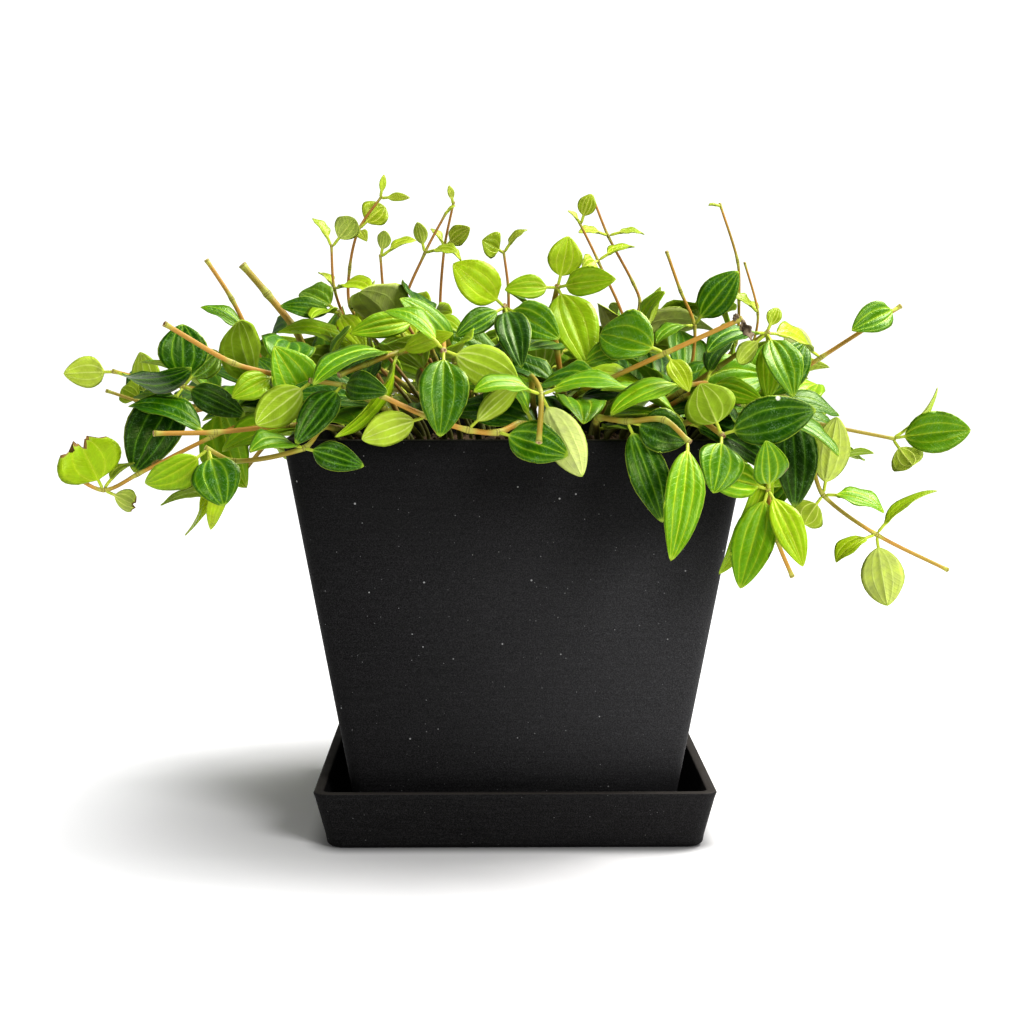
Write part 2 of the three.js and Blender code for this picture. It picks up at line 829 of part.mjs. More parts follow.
// The leaves that grow in whorls
function whorlLeaves({ points, foot, whorls }) {
  const found = [];
  const shape = whorlLeaf;
  const nearFront = foot[1] < whorlLine;
  for (const [at, count] of whorls ?? (nearFront ? frontWhorls : shootWhorls)) {
    const next = points[Math.min(at + 1, points.length - 1)];
    const along = next.clone().sub(points[at - 1]).normalize();
    const out = new THREE.Vector3(points[at].x, points[at].y, 0).normalize();
    const side = along.clone().cross(new THREE.Vector3(0, 0, 1)).normalize();
    const over = side.clone().cross(along);
    const toward = new THREE.Vector3(0, 0, 1).addScaledVector(out, shape.facesOut);
    const start = draw(0, 2 * Math.PI);
    for (let k = 0; k < count; k++) {
      const angle = start + (2 * Math.PI * k) / count + draw(-shape.uneven, shape.uneven);
      const open = draw(...shape.open);
      const length = draw(...shape.length) * (at < shape.youngFrom ? 1 : shape.youngShare);
      const turn = draw(-shape.turn, shape.turn);
      const width = length * draw(...shape.widthShare);
      const reach = along.clone().multiplyScalar(Math.cos(open));
      reach.addScaledVector(side, Math.sin(open) * Math.cos(angle));
      reach.addScaledVector(over, Math.sin(open) * Math.sin(angle));
      reach.z = reach.z * shape.flatten + shape.lift;
      reach.normalize().multiplyScalar(length);
      const tip = points[at].clone().add(reach);
      const hangs = tip.y < -whorlRoom.besidePot && Math.abs(tip.x) < whorlRoom.besidePot;
      if (tip.z > whorlRoom.top || (hangs && tip.z < whorlRoom.bottom)) continue;
      found.push({ at, reach, toward, turn, width });
    }
  }
  return found;
}

// The plant: every stem first, then the leaves, each bent clear of what is there
const plant = [];
for (const stem of [...shownStems, ...ruleStems.map(ruleStem)]) {
  const girth = stem.girth ?? stalks.girth;
  const endGirth = stem.endGirth ?? stalks.endGirth;
  for (const move of stemMoves) {
    const path = stem.path.map((p) => p.map((value, axis) => value + move[axis]));
    const points = centreLine(stem.foot, path);
    const geometry = stemGeometry(points, girth, endGirth);
    const shape = outline(geometry);
    if (meets(shape, plant.map((other) => other.shapes[0]), clearOf.stems)) continue;
    if (stemMeetsPot(points, girth)) continue;
    plant.push({ ...stem, girth, points, shapes: [shape], blades: [], solid: toSolid(geometry) });
    break;
  }
}

// Where leaves root at a point of a stem: on its centre line, and inside the end of the last piece
function rootAt(points, at) {
  const here = points[at].clone();
  if (at < points.length - 1) return here;
  const back = points[at - 1].clone().sub(here).normalize();
  return here.addScaledVector(back, blade.rootBack);
}

const stalkFaces = 4;

// Adds a leaf to a stem, in the first of its places that is clear of everything
function addLeaf(stem, leaf) {
  const others = plant.filter((other) => other !== stem).flatMap((other) => other.shapes);
  const base = rootAt(stem.points, leaf.at);
  const length = leaf.reach.length();
  for (const move of leafMoves) {
    const reach = leaf.reach.clone().addScaledVector(new THREE.Vector3(...move), length);
    reach.normalize().multiplyScalar(length);
    const face = leafFace(reach.clone().normalize(), leaf.toward, leaf.turn);
    const tip = stem.points[leaf.at].clone().add(reach);
    const geometry = leafGeometry({ base, tip, face, width: leaf.width });
    const shape = outline(geometry);
    const bladeOnly = { ...shape, triangles: shape.triangles.slice(stalkFaces) };
    if (meets(shape, others, clearOf.leaves) || meets(bladeOnly, stem.blades, clearOf.leaves)) continue;
    if (leafMeetsPot(shape)) continue;
    stem.shapes.push(shape);
    stem.blades.push(bladeOnly);
    stem.solid = stem.solid.add(toSolid(geometry));
    return;
  }
}

for (const leavesOf of [listedLeaves, whorlLeaves]) {
  for (const stem of plant) leavesOf(stem).forEach((leaf) => addLeaf(stem, leaf));
}

const object = new THREE.Group();
object.add(saucerPart(), potPart(), soilPart(plant));
plant.forEach((stem, i) => {
  const name = "leafy_stem_" + String(i + 1).padStart(2, "0");
  object.add(part(name, toGeometry(stem.solid), colours.leaf, 0.5));
});

export default object;
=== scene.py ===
# Potted beetle peperomia: fine leaves, stems, pot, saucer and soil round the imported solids.
# Shapes are worked out in millimetres, in the solids' own frame, and put into meshes in metres.
import math
import bpy
import numpy as np
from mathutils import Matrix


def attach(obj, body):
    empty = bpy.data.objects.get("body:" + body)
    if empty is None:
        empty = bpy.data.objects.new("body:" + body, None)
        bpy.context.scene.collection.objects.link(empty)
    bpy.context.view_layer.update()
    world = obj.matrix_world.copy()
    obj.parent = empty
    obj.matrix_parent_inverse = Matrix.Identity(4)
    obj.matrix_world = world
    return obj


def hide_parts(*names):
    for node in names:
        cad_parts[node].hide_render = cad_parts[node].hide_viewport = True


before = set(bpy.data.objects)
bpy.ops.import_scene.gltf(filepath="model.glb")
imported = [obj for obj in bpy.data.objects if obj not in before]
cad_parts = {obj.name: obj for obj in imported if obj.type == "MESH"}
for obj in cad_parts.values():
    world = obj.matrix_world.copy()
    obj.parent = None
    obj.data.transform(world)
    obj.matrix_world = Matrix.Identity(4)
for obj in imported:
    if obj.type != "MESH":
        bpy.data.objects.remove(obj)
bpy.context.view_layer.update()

print("solids loaded:", len(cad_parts), "nodes")

metre = 0.001  # one millimetre in scene units


def unit(vector):
    return vector / np.linalg.norm(vector)


def addObject(name, data):
    made = bpy.data.objects.new(name, data)
    bpy.context.scene.collection.objects.link(made)
    return made


# Shader helpers: put() adds a node, calc() a sum, times() a product, tint() a colour mix, layered() a
# stack of them, steps() a ramp, soften() a smooth step and grain() a noise

def join(tree, socket, value):
    if isinstance(value, bpy.types.NodeSocket):
        tree.links.new(value, socket)
    else:
        socket.default_value = value


def put(tree, kind, inputs=None, **settings):
    made = tree.nodes.new(kind)
    for key, value in settings.items():
        setattr(made, key, value)
    for key, value in (inputs or {}).items():
        join(tree, made.inputs[key], value)
    return made


def calc(tree, operation, *values):
    return put(tree, "ShaderNodeMath", dict(enumerate(values)), operation=operation).outputs[0]


def vectorCalc(tree, operation, *values):
    return put(tree, "ShaderNodeVectorMath", dict(enumerate(values)), operation=operation).outputs


def chain(tree, operation, value, *others):
    for other in others:
        value = calc(tree, operation, value, other)
    return value


def times(tree, *values):
    return chain(tree, "MULTIPLY", *values)


def tint(tree, factor, first, second, mode="MIX"):
    first, second = ((*colour, 1) if isinstance(colour, tuple) else colour for colour in (first, second))
    inputs = {0: factor, 6: first, 7: second}
    return put(tree, "ShaderNodeMix", inputs, data_type="RGBA", blend_type=mode).outputs[2]


def layered(tree, colour, *layers):
    for share, tone in layers:
        colour = tint(tree, share, colour, tone)
    return colour


def grey(tree, value):
    return put(tree, "ShaderNodeCombineColor", dict.fromkeys(("Red", "Green", "Blue"), value)).outputs[0]


def dimmed(tree, colour, value):
    return tint(tree, 1.0, colour, grey(tree, value), "MULTIPLY")


def steps(tree, factor, stops):
    made = put(tree, "ShaderNodeValToRGB", {"Fac": factor})
    marks = made.color_ramp.elements
    while len(marks) < len(stops):
        marks.new(0.5)
    for mark, (place, colour) in zip(marks, stops):
        mark.position = place
        mark.color = (*colour, 1)
    return made.outputs["Color"]


def soften(tree, value, start, end, low=0.0, high=1.0):
    inputs = {"Value": value, "From Min": start, "From Max": end, "To Min": low, "To Max": high}
    return put(tree, "ShaderNodeMapRange", inputs, interpolation_type="SMOOTHSTEP").outputs["Result"]


# soften() by the names of spans
def overSpans(tree, spans):
    return lambda value, span: soften(tree, value, *spans[span])


def objectPlace(tree):
    return put(tree, "ShaderNodeTexCoord").outputs["Object"]


def grain(tree, scale, detail=3.0, rough=0.55, place=None):
    place = objectPlace(tree) if place is None else place
    inputs = {"Vector": place, "Scale": scale, "Detail": detail, "Roughness": rough}
    return put(tree, "ShaderNodeTexNoise", inputs).outputs["Fac"]


def field(tree, name):
    return put(tree, "ShaderNodeAttribute", attribute_name=name).outputs["Vector"]


def apart(tree, vector):
    return put(tree, "ShaderNodeSeparateXYZ", {"Vector": vector}).outputs


def newGroup(name, takes, gives):
    group = bpy.data.node_groups.new(name, "ShaderNodeTree")
    for labels, way in ((takes, "INPUT"), (gives, "OUTPUT")):
        for label in labels:
            kind = "NodeSocketVector" if label == "Place" else "NodeSocketFloat"
            group.interface.new_socket(label, in_out=way, socket_type=kind)
    return group, put(group, "NodeGroupInput").outputs


def giveOut(tree, **values):
    put(tree, "NodeGroupOutput", values)
    return tree


def useGroup(tree, group, **inputs):
    return put(tree, "ShaderNodeGroup", inputs, node_tree=group).outputs


def newFinish(name, specular, **plain):
    finish = bpy.data.materials.new(name)
    finish.use_nodes = True
    shader = finish.node_tree.nodes["Principled BSDF"]
    shader.inputs["Specular IOR Level"].default_value = specular
    for key, value in plain.items():
        shader.inputs[key].default_value = value
    return finish, finish.node_tree, shader


def dress(tree, shader, colour, roughness):
    tree.links.new(colour, shader.inputs["Base Color"])
    tree.links.new(roughness, shader.inputs["Roughness"])


def bumpInto(tree, shader, height, distance, strength, under=None):
    made = put(tree, "ShaderNodeBump", {"Height": height, "Distance": distance, "Strength": strength})
    if under is not None:
        tree.links.new(under, made.inputs["Normal"])
    tree.links.new(made.outputs[0], shader.inputs["Normal"])
    return made.outputs[0]


# View, light and backdrop: places in metres, angles in degrees

view = dict(
    place=(-0.010253, -0.869, 0.208028), pitch=-5.424, yaw=-0.645, lens=72.70, sensor=36.0, nearest=0.01,
)
# place, point it looks at, width, power in watts, colour
lamps = dict(
    key=((0.76, 0.24, 1.35), (0, 0, 0.12), 0.9, 37.0, (1.0, 0.99, 0.97)),
    front=((0.9, -1.4, 0.9), (0, 0, 0.15), 0.7, 20.0, (1.0, 1.0, 1.0)),
    left=((-1.4, -0.9, 0.9), (0, 0, 0.18), 0.7, 5.0, (1.0, 1.0, 1.0)),
)
studio = dict(seen=1.0, fill=0.22)  # strength of the white backdrop as seen, and as it lights the piece


def setView():
    data = bpy.data.cameras.new("view")
    data.sensor_width = view["sensor"]
    data.lens = view["lens"]
    data.clip_start = view["nearest"]
    camera = addObject("view", data)
    camera.location = view["place"]
    camera.rotation_euler = (math.radians(90 + view["pitch"]), 0, math.radians(view["yaw"]))
    bpy.context.scene.camera = camera


def setLamps():
    for name, (place, aim, width, power, colour) in lamps.items():
        data = bpy.data.lights.new(name + "Lamp", "AREA")
        data.shape = "DISK"
        data.size = width
        data.energy = power
        data.color = colour
        lamp = addObject(name + "Lamp", data)
        lamp.location = place
        down = unit(np.array(aim, float) - np.array(place, float))
        lamp.rotation_euler = (math.acos(-down[2]), 0, math.atan2(-down[0], down[1]))


def setRoom():
    world = bpy.data.worlds.new("studio")
    world.use_nodes = True
    tree = world.node_tree
    # straight rays see the backdrop, others are lit by the fill
    straight = put(tree, "ShaderNodeLightPath").outputs["Is Camera Ray"]
    inputs = {"Value": straight, "To Min": studio["fill"], "To Max": studio["seen"]}
    strength = put(tree, "ShaderNodeMapRange", inputs).outputs["Result"]
    back = tree.nodes["Background"]
    back.inputs["Color"].default_value = (1, 1, 1, 1)
    tree.links.new(strength, back.inputs["Strength"])
    bpy.context.scene.world = world
    bpy.context.scene.view_settings.view_transform = "Standard"
    bpy.context.scene.view_settings.look = "Medium High Contrast"


setView()
setLamps()
setRoom()
print("view and light set")


# Shared effects

# Uneven tone and a fine skin: Tone wanders about 1 over a few millimetres, Skin is a fine grain
def makeMottle():
    tree, takes = newGroup("unevenTone", ("Patch", "Spread", "Fine"), ("Tone", "Skin", "Patches"))
    patches = grain(tree, takes["Patch"])
    swing = times(tree, calc(tree, "SUBTRACT", patches, 0.5), takes["Spread"])
    skin = grain(tree, takes["Fine"], 2.0, 0.7)
    return giveOut(tree, Tone=calc(tree, "ADD", swing, 1.0), Skin=skin, Patches=patches)


# Arching veins from where each point lies on its leaf: across -1 to 1, along 0 to 1, half width.
# Line is the thin pale vein, Band the lighter stripe beside it, Branch the faint side veins, which run
# forward from the midrib about 3 mm apart. Widths are in millimetres.
veins = dict(
    places=(0.0, 0.44, 0.80), weights=(1.0, 0.8, 0.3),  # midrib and the two arches on each side of it
    line=0.52, lineCore=0.25, band=1.5, feather=(1.3, 0.35), wander=0.04,
    taper=(-0.8, 1.2), byLength=(8.0, 30.0, 0.6, 1.05),  # narrower towards the tip and on short leaves
    fading=(0.36, 0.6, 0.45, 1.0), grains=dict(wander=190.0, feather=900.0, fading=110.0),
    lean=1.1, closeness=2.1, waver=1.2, branch=(0.55, 1.0),  # of the side veins
)


def makeVeins():
    tree, takes = newGroup("archingVeins", ("Place", "Length"), ("Line", "Band", "Branch"))
    side, along, half = apart(tree, takes["Place"])
    wander = calc(tree, "SUBTRACT", grain(tree, veins["grains"]["wander"], 2.0), 0.5)
    across = calc(tree, "ABSOLUTE", calc(tree, "MULTIPLY_ADD", wander, veins["wander"] * 2, side))
    feather = calc(tree, "MULTIPLY_ADD", grain(tree, veins["grains"]["feather"]), *veins["feather"])
    narrow = times(tree, calc(tree, "MULTIPLY_ADD", along, *veins["taper"]),
                   soften(tree, takes["Length"], *veins["byLength"]))
    lines, bands = [], []
    for place, weight in zip(veins["places"], veins["weights"]):
        away = times(tree, calc(tree, "ABSOLUTE", calc(tree, "SUBTRACT", across, place)), half)
        away = calc(tree, "DIVIDE", away, narrow)
        core = soften(tree, away, veins["line"], veins["line"] * veins["lineCore"])
        lines.append(times(tree, core, weight))
        spread = soften(tree, calc(tree, "DIVIDE", away, feather), veins["band"], 0.0)
        bands.append(times(tree, spread, weight))
    fading = soften(tree, grain(tree, veins["grains"]["fading"]), *veins["fading"])
    lean = times(tree, across, half, veins["lean"])
    run = calc(tree, "SUBTRACT", times(tree, along, takes["Length"]), lean)
    wave = calc(tree, "SINE", times(tree, run, veins["closeness"]))
    wave = calc(tree, "ADD", wave, times(tree, wander, veins["waver"]))
    return giveOut(
        tree, Line=times(tree, chain(tree, "MAXIMUM", *lines), fading), Band=chain(tree, "MAXIMUM", *bands),
        Branch=soften(tree, wave, *veins["branch"]),
    )


# Sparse pale specks: one cell in a few holds a dot of its own size
def makeSpecks():
    tree, takes = newGroup("paleSpecks", ("Cells", "Share", "Size"), ("Speck",))
    inputs = {"Vector": objectPlace(tree), "Scale": takes["Cells"], "Randomness": 1.0}
    cell = put(tree, "ShaderNodeTexVoronoi", inputs).outputs
    pick = put(tree, "ShaderNodeSeparateColor", {"Color": cell["Color"]}).outputs
    own = times(tree, calc(tree, "MULTIPLY_ADD", pick[1], 0.8, 0.2), takes["Size"])
    dot = soften(tree, calc(tree, "DIVIDE", cell["Distance"], own), 1.0, 0.6)
    return giveOut(tree, Speck=times(tree, dot, calc(tree, "LESS_THAN", pick[0], takes["Share"])))


# Fine level streaks of brushed plastic, with a small even grain
def makeBrushed():
    tree, takes = newGroup("brushedStreaks", ("Along", "Level"), ("Streak", "Grit", "Cloud"))
    inputs = {"X": takes["Along"], "Y": takes["Along"], "Z": takes["Level"]}
    stretch = put(tree, "ShaderNodeCombineXYZ", inputs).outputs[0]
    place = vectorCalc(tree, "MULTIPLY", objectPlace(tree), stretch)[0]
    streak = grain(tree, 1.0, 4.0, 0.6, place)
    return giveOut(tree, Streak=streak, Grit=grain(tree, 2500.0, 1.0, 0.7), Cloud=grain(tree, 14.0))


mottle = makeMottle()
archingVeins = makeVeins()
specks = makeSpecks()
brushed = makeBrushed()
print("shared effects built")


# Finishes. In their dictionaries a span is (from, to) of a smooth step, then its (low, high) if not 0 and 1.

# Colours from the youngest leaf to the oldest: between the veins, and in the stripe beside a vein
leafTones = dict(
    blade=[(0.0, (0.37, 0.42, 0.03)), (0.22, (0.30, 0.43, 0.008)), (0.5, (0.110, 0.27, 0.002)),
           (0.78, (0.014, 0.083, 0.0003)), (1.0, (0.004, 0.030, 0.0003))],
    stripe=[(0.0, (0.45, 0.49, 0.06)), (0.22, (0.40, 0.52, 0.012)), (0.5, (0.22, 0.39, 0.004)),
            (0.78, (0.080, 0.22, 0.002)), (1.0, (0.034, 0.125, 0.002))],
    vein=[(0.0, (0.52, 0.55, 0.13)), (0.5, (0.52, 0.60, 0.04)), (0.75, (0.32, 0.46, 0.03)),
          (1.0, (0.13, 0.28, 0.02))],
    under=[(0.0, (0.51, 0.55, 0.24)), (0.3, (0.39, 0.47, 0.06)), (0.5, (0.26, 0.37, 0.022)),
           (1.0, (0.13, 0.25, 0.014))],
    underBranch=(0.30, 0.46, 0.05), underBand=(0.34, 0.50, 0.06), underLine=(0.66, 0.72, 0.26),
    small=(0.20, 0.275, 0.012), smallVein=(0.56, 0.60, 0.13), sheen=(0.24, 0.38, 0.20),
    margin=(0.36, 0.48, 0.05), dry=(0.22, 0.12, 0.04), stalk=(0.44, 0.52, 0.06), scar=(0.75, 0.75, 0.66),
)
leafSpans = dict(
    small=(24.0, 16.0),  # over a leaf's length in millimetres
    striped=(0.86, 1.12, 0.6, 1.0),  # over its shade
    veined=(0.1, 0.5, 0.25, 0.75), grown=(0.35, 0.7, 0.0, 0.3),  # over its age
    old=(0.55, 0.75), raised=(0.2, 0.6, 0.1, 0.8),  # over its age
    grains=(0.48, 0.66), gathered=(0.4, 0.62), gloss=(0.25, 0.75),  # over the mottle's two grains
    margin=(0.925, 0.99, 0.0, 0.7), beside=(0.6, 0.9), dried=(0.845, 0.88),  # over the way across
    paleTip=(0.985, 1.03, 0.0, 0.6), dryTip=(1.062, 1.085), stalk=(0.05, -0.02),  # over the way along
)
leafLook = dict(
    mottle=dict(Patch=260.0, Spread=0.9, Fine=1700.0), uneven=0.22, smallVein=0.85,
    driedGrain=75.0, driedRim=0.16, tipGrain=140.0, tipWander=0.10,
    scars=dict(Cells=85.0, Share=0.16, Size=0.10), scarred=0.8, shine=(0.8, 1.0, 0.35, 1),
    skinBump=0.00010, veinBump=(0.00022, 0.8),
)
upperSide = dict(specular=0.36, gloss=(0.26, 0.42), small=0.75, branch=0.24, relief=(-1.0, -0.25))
underside = dict(
    specular=0.17, gloss=(0.5, 0.66), small=0.6, branch=0.10, band=0.18, line=0.45, relief=(1.0, 0.35),
)


def leafFinish(name, side):
    finish, tree, shader = newFinish(name, side["specular"], **{"Specular Tint": leafLook["shine"]})
    upper = side is upperSide
    place = field(tree, "leafPlace")
    across, along = apart(tree, place)[:2]
    age, shade, length = apart(tree, field(tree, "leafKind"))
    vein = useGroup(tree, archingVeins, Place=place, Length=length)
    tone = useGroup(tree, mottle, **leafLook["mottle"])
    over = overSpans(tree, leafSpans)
    swing = times(tree, calc(tree, "SUBTRACT", tone["Patches"], 0.5), leafLook["uneven"])
    ageHere = calc(tree, "ADD", age, swing)
    small = over(length, "small")  # leaves of the thin shoots are olive, with plain pale veins
    if upper:
        stripe = steps(tree, ageHere, leafTones["stripe"])
        strong = over(shade, "striped")  # stripes are fainter on some leaves
        bright = times(tree, over(age, "veined"), strong)
        # painted sheen: pale grains, gathered in patches, on grown leaves
        grains = times(tree, over(tone["Skin"], "grains"), over(tone["Patches"], "gathered"),
                       over(age, "grown"))
        colour = layered(
            tree, steps(tree, ageHere, leafTones["blade"]),
            (times(tree, small, side["small"]), leafTones["small"]),
            (times(tree, vein["Band"], strong), stripe),
            (times(tree, vein["Branch"], side["branch"]), stripe),
            (times(tree, vein["Line"], bright), steps(tree, ageHere, leafTones["vein"])),
            (grains, leafTones["sheen"]),
        )
    else:
        colour = layered(
            tree, steps(tree, ageHere, leafTones["under"]),
            (times(tree, small, side["small"]), leafTones["small"]),
            (times(tree, vein["Branch"], side["branch"]), leafTones["underBranch"]),
            (times(tree, vein["Band"], side["band"]), leafTones["underBand"]),
            (times(tree, vein["Line"], side["line"]), leafTones["underLine"]),
        )
    fresh = times(tree, vein["Line"], times(tree, small, leafLook["smallVein"]))
    colour = tint(tree, fresh, colour, leafTones["smallVein"])
    colour = dimmed(tree, colour, times(tree, tone["Tone"], shade))
    # the margin and the tip are pale, and dried here and there
    rim = calc(tree, "ABSOLUTE", across)
    dried = calc(tree, "MULTIPLY_ADD", rim, leafLook["driedRim"], grain(tree, leafLook["driedGrain"]))
    tip = calc(tree, "MULTIPLY_ADD", grain(tree, leafLook["tipGrain"]), leafLook["tipWander"], along)
    colour = layered(
        tree, colour,
        (over(rim, "margin"), leafTones["margin"]),
        (times(tree, over(dried, "dried"), over(rim, "beside")), leafTones["dry"]),
        (over(tip, "paleTip"), leafTones["margin"]),
        (over(tip, "dryTip"), leafTones["dry"]),
        (over(along, "stalk"), leafTones["stalk"]),
    )
    if upper:
        scar = useGroup(tree, specks, **leafLook["scars"])["Speck"]
        shown = times(tree, scar, times(tree, over(age, "old"), leafLook["scarred"]))
        colour = tint(tree, shown, colour, leafTones["scar"])
    dress(tree, shader, colour, soften(tree, tone["Patches"], *leafSpans["gloss"], *side["gloss"]))
    skin = bumpInto(tree, shader, tone["Skin"], leafLook["skinBump"], over(age, "raised"))
    ridge, sideRidge = side["relief"]
    relief = calc(tree, "ADD", times(tree, vein["Line"], ridge), times(tree, vein["Branch"], sideRidge))
    bumpInto(tree, shader, relief, *leafLook["veinBump"], skin)
    return finish


# Internodes run from orange-brown to olive, and turn yellow-green at each node
stemTones = dict(
    old=(0.31, 0.24, 0.034), rust=(0.42, 0.228, 0.040), shoot=(0.38, 0.175, 0.045),
    green=(0.26, 0.31, 0.04), foot=(0.060, 0.068, 0.018), node=(0.36, 0.40, 0.07), ring=(0.10, 0.055, 0.018),
)
stemSpans = dict(
    rust=(0.38, 0.62),  # over warmth
    green=(0.5, 0.0, 0.0, 0.8), foot=(0.46, 0.18, 0.0, 0.85),  # over the way along
    node=(5.0, 0.8, 0.0, 0.75), ringOut=(0.9, 0.5), ringIn=(0.1, 0.4),  # over millimetres from a node
    dots=(0.58, 0.74), gloss=(0.3, 0.7, 0.42, 0.58),
)
stemLook = dict(
    specular=0.28, mottle=dict(Patch=34.0, Spread=0.5, Fine=1500.0), redness=(0.5, -0.25),
    ring=0.55, dots=0.15, bump=(0.00005, 0.5),
)


def stemFinish():
    finish, tree, shader = newFinish("stemSkin", stemLook["specular"])
    away, young, share = apart(tree, field(tree, "stemKind"))
    tone = useGroup(tree, mottle, **stemLook["mottle"])
    over = overSpans(tree, stemSpans)
    redness = apart(tree, field(tree, "leafKind"))[0]  # some stems are redder
    warmth = calc(tree, "ADD", tone["Patches"], calc(tree, "MULTIPLY_ADD", redness, *stemLook["redness"]))
    colour = layered(
        tree, stemTones["old"],
        (over(warmth, "rust"), stemTones["rust"]),
        (young, stemTones["shoot"]),
        (over(share, "green"), stemTones["green"]),
        (over(away, "node"), stemTones["node"]),
        (over(share, "foot"), stemTones["foot"]),
        (times(tree, over(away, "ringOut"), over(away, "ringIn"), stemLook["ring"]), stemTones["ring"]),
        (times(tree, over(tone["Skin"], "dots"), stemLook["dots"]), stemTones["ring"]),
    )
    dress(tree, shader, dimmed(tree, colour, tone["Tone"]), over(tone["Skin"], "gloss"))
    bumpInto(tree, shader, tone["Skin"], *stemLook["bump"])
    return finish


# Drab finishes: a first tone, patches of a second, and in the soil pale bits
drab = dict(
    cutEnd=dict(specular=0.2, mottle=dict(Patch=900.0, Spread=0.6, Fine=3000.0), first=(0.55, 0.42, 0.22),
                second=(0.16, 0.08, 0.03), gloss=(0.7, 0.9), relief="Patches", bump=(0.0003, 0.8)),
    driedLeaf=dict(specular=0.15, mottle=dict(Patch=420.0, Spread=0.8, Fine=2200.0),
                   first=(0.040, 0.028, 0.016), second=(0.26, 0.20, 0.13), gloss=(0.7, 0.9), relief="Patches",
                   bump=(0.0005, 0.8)),
    looseMix=dict(specular=0.2, mottle=dict(Patch=220.0, Spread=0.9, Fine=1200.0),
                  first=(0.030, 0.018, 0.010), second=(0.085, 0.052, 0.028), bits=(0.16, 0.11, 0.065),
                  gloss=(0.8, 0.95), relief="Skin", bump=(0.0004, 0.9)),
)
drabSpans = dict(patches=(0.35, 0.65), bits=(0.62, 0.75, 0.0, 0.6), gloss=(0.3, 0.7))


def drabFinish(name):
    look = drab[name]
    finish, tree, shader = newFinish(name, look["specular"])
    tone = useGroup(tree, mottle, **look["mottle"])
    colour = tint(tree, soften(tree, tone["Patches"], *drabSpans["patches"]), look["first"], look["second"])
    if "bits" in look:
        colour = tint(tree, soften(tree, tone["Skin"], *drabSpans["bits"]), colour, look["bits"])
    dress(tree, shader, colour, soften(tree, tone["Skin"], *drabSpans["gloss"], *look["gloss"]))
    bumpInto(tree, shader, tone[look["relief"]], *look["bump"])
    return finish


# Matte charcoal plastic with level brush marks, painted light making it lighter to the right and low down,
# painted shade below the rim and a painted highlight pale on the rim's top. Heights and places are in metres.
# A speck has its cells per metre, the share of them with a dot, the dot's size and its strength.
plastics = dict(
    potPlastic=dict(
        dark=(0.0034, 0.0033, 0.0035), light=(0.0115, 0.0112, 0.0116), paintedLitTone=(0.034, 0.0335, 0.035),
        specks=[(190.0, 0.45, 0.10, 1.0), (420.0, 0.45, 0.13, 0.5)], rimFrom=0.1608,
    ),
    saucerPlastic=dict(
        dark=(0.0044, 0.0043, 0.0044), light=(0.0145, 0.0140, 0.0142), paintedLitTone=(0.018, 0.0173, 0.018),
        specks=[(420.0, 0.45, 0.13, 0.5)], rimFrom=0.0225,
    ),
)
plasticSpans = dict(
    weave=(0.35, 0.65), cloud=(0.35, 0.7, 0.0, 0.3),
    right=(-0.09, 0.10), low=(0.15, 0.09, 0.2, 1.0), lowest=(0.015, 0.05, 0.4, 0.9),  # of the painted light, lighter to the right and low down
    grit=(0.32, 0.72, 0.68, 1.55), streak=(0.35, 0.65, 0.95, 1.05),
    top=(0.10, 0.155, 1.0, 0.72),  # painted shade from the leaves above, darker below the rim
    gloss=(0.3, 0.7, 0.5, 0.66),
)
plasticLook = dict(
    specular=0.09, streaks=dict(Along=50.0, Level=1400.0), weave=(0.3, 0.7), paintedRimLight=(0.060, 0.053, 0.048),
    rimOver=0.0004, rimHighlightShare=0.75, speck=(0.24, 0.24, 0.24),
    gritBump=(0.00005, 0.6), streakBump=(0.00010, 0.7),
)


def plasticFinish(name):
    own = plastics[name]
    finish, tree, shader = newFinish(name, plasticLook["specular"])
    marks = useGroup(tree, brushed, **plasticLook["streaks"])
    place = apart(tree, objectPlace(tree))
    over = overSpans(tree, plasticSpans)
    streaky, gritty = plasticLook["weave"]
    weave = calc(tree, "MULTIPLY_ADD", marks["Streak"], streaky, times(tree, marks["Grit"], gritty))
    # painted light: the plastic is made lighter to the right and low down, as if lit from the right
    paintedLightShare = times(tree, over(place["X"], "right"), over(place["Z"], "low"), over(place["Z"], "lowest"))
    colour = layered(
        tree, own["dark"],
        (over(weave, "weave"), own["light"]),
        (over(marks["Cloud"], "cloud"), own["light"]),
        (paintedLightShare, own["paintedLitTone"]),
    )
    # grit and streaks, and painted shade: darker below the rim where the leaves shade it
    shade = times(tree, over(marks["Grit"], "grit"), over(marks["Streak"], "streak"), over(place["Z"], "top"))
    # painted highlight: the rim's top is made paler, as where light falls on it
    rimSpan = (own["rimFrom"], own["rimFrom"] + plasticLook["rimOver"], 0.0, plasticLook["rimHighlightShare"])
    colour = tint(tree, soften(tree, place["Z"], *rimSpan), dimmed(tree, colour, shade), plasticLook["paintedRimLight"])
    for cells, share, size, weight in own["specks"]:
        dot = useGroup(tree, specks, Cells=cells, Share=share, Size=size)["Speck"]
        colour = tint(tree, times(tree, dot, weight), colour, plasticLook["speck"])
    dress(tree, shader, colour, over(marks["Streak"], "gloss"))
    fine = bumpInto(tree, shader, marks["Grit"], *plasticLook["gritBump"])
    bumpInto(tree, shader, marks["Streak"], *plasticLook["streakBump"], fine)
    return finish


# White ground that takes shadows beside the saucer and has a painted glow farther out, which washes out its
# shadows so that it runs into the backdrop. Distances in metres: the shadows fade under the painted glow from
# the middle of the pot, and a painted contact shadow, a dim strip, lies along the saucer's foot.
groundLook = dict(
    specular=0.05, shadows=(0.09, 0.25), cloudSize=3.0, near=((0.80, 0.79, 0.80), (0.83, 0.82, 0.83)),
    far=(0.30, 0.30, 0.30), glow=(0.84, 0.01), gloss=(0.3, 0.7, 0.75, 0.85),
    inner=0.0657, corner=0.006, reach=0.013, least=0.3,
)


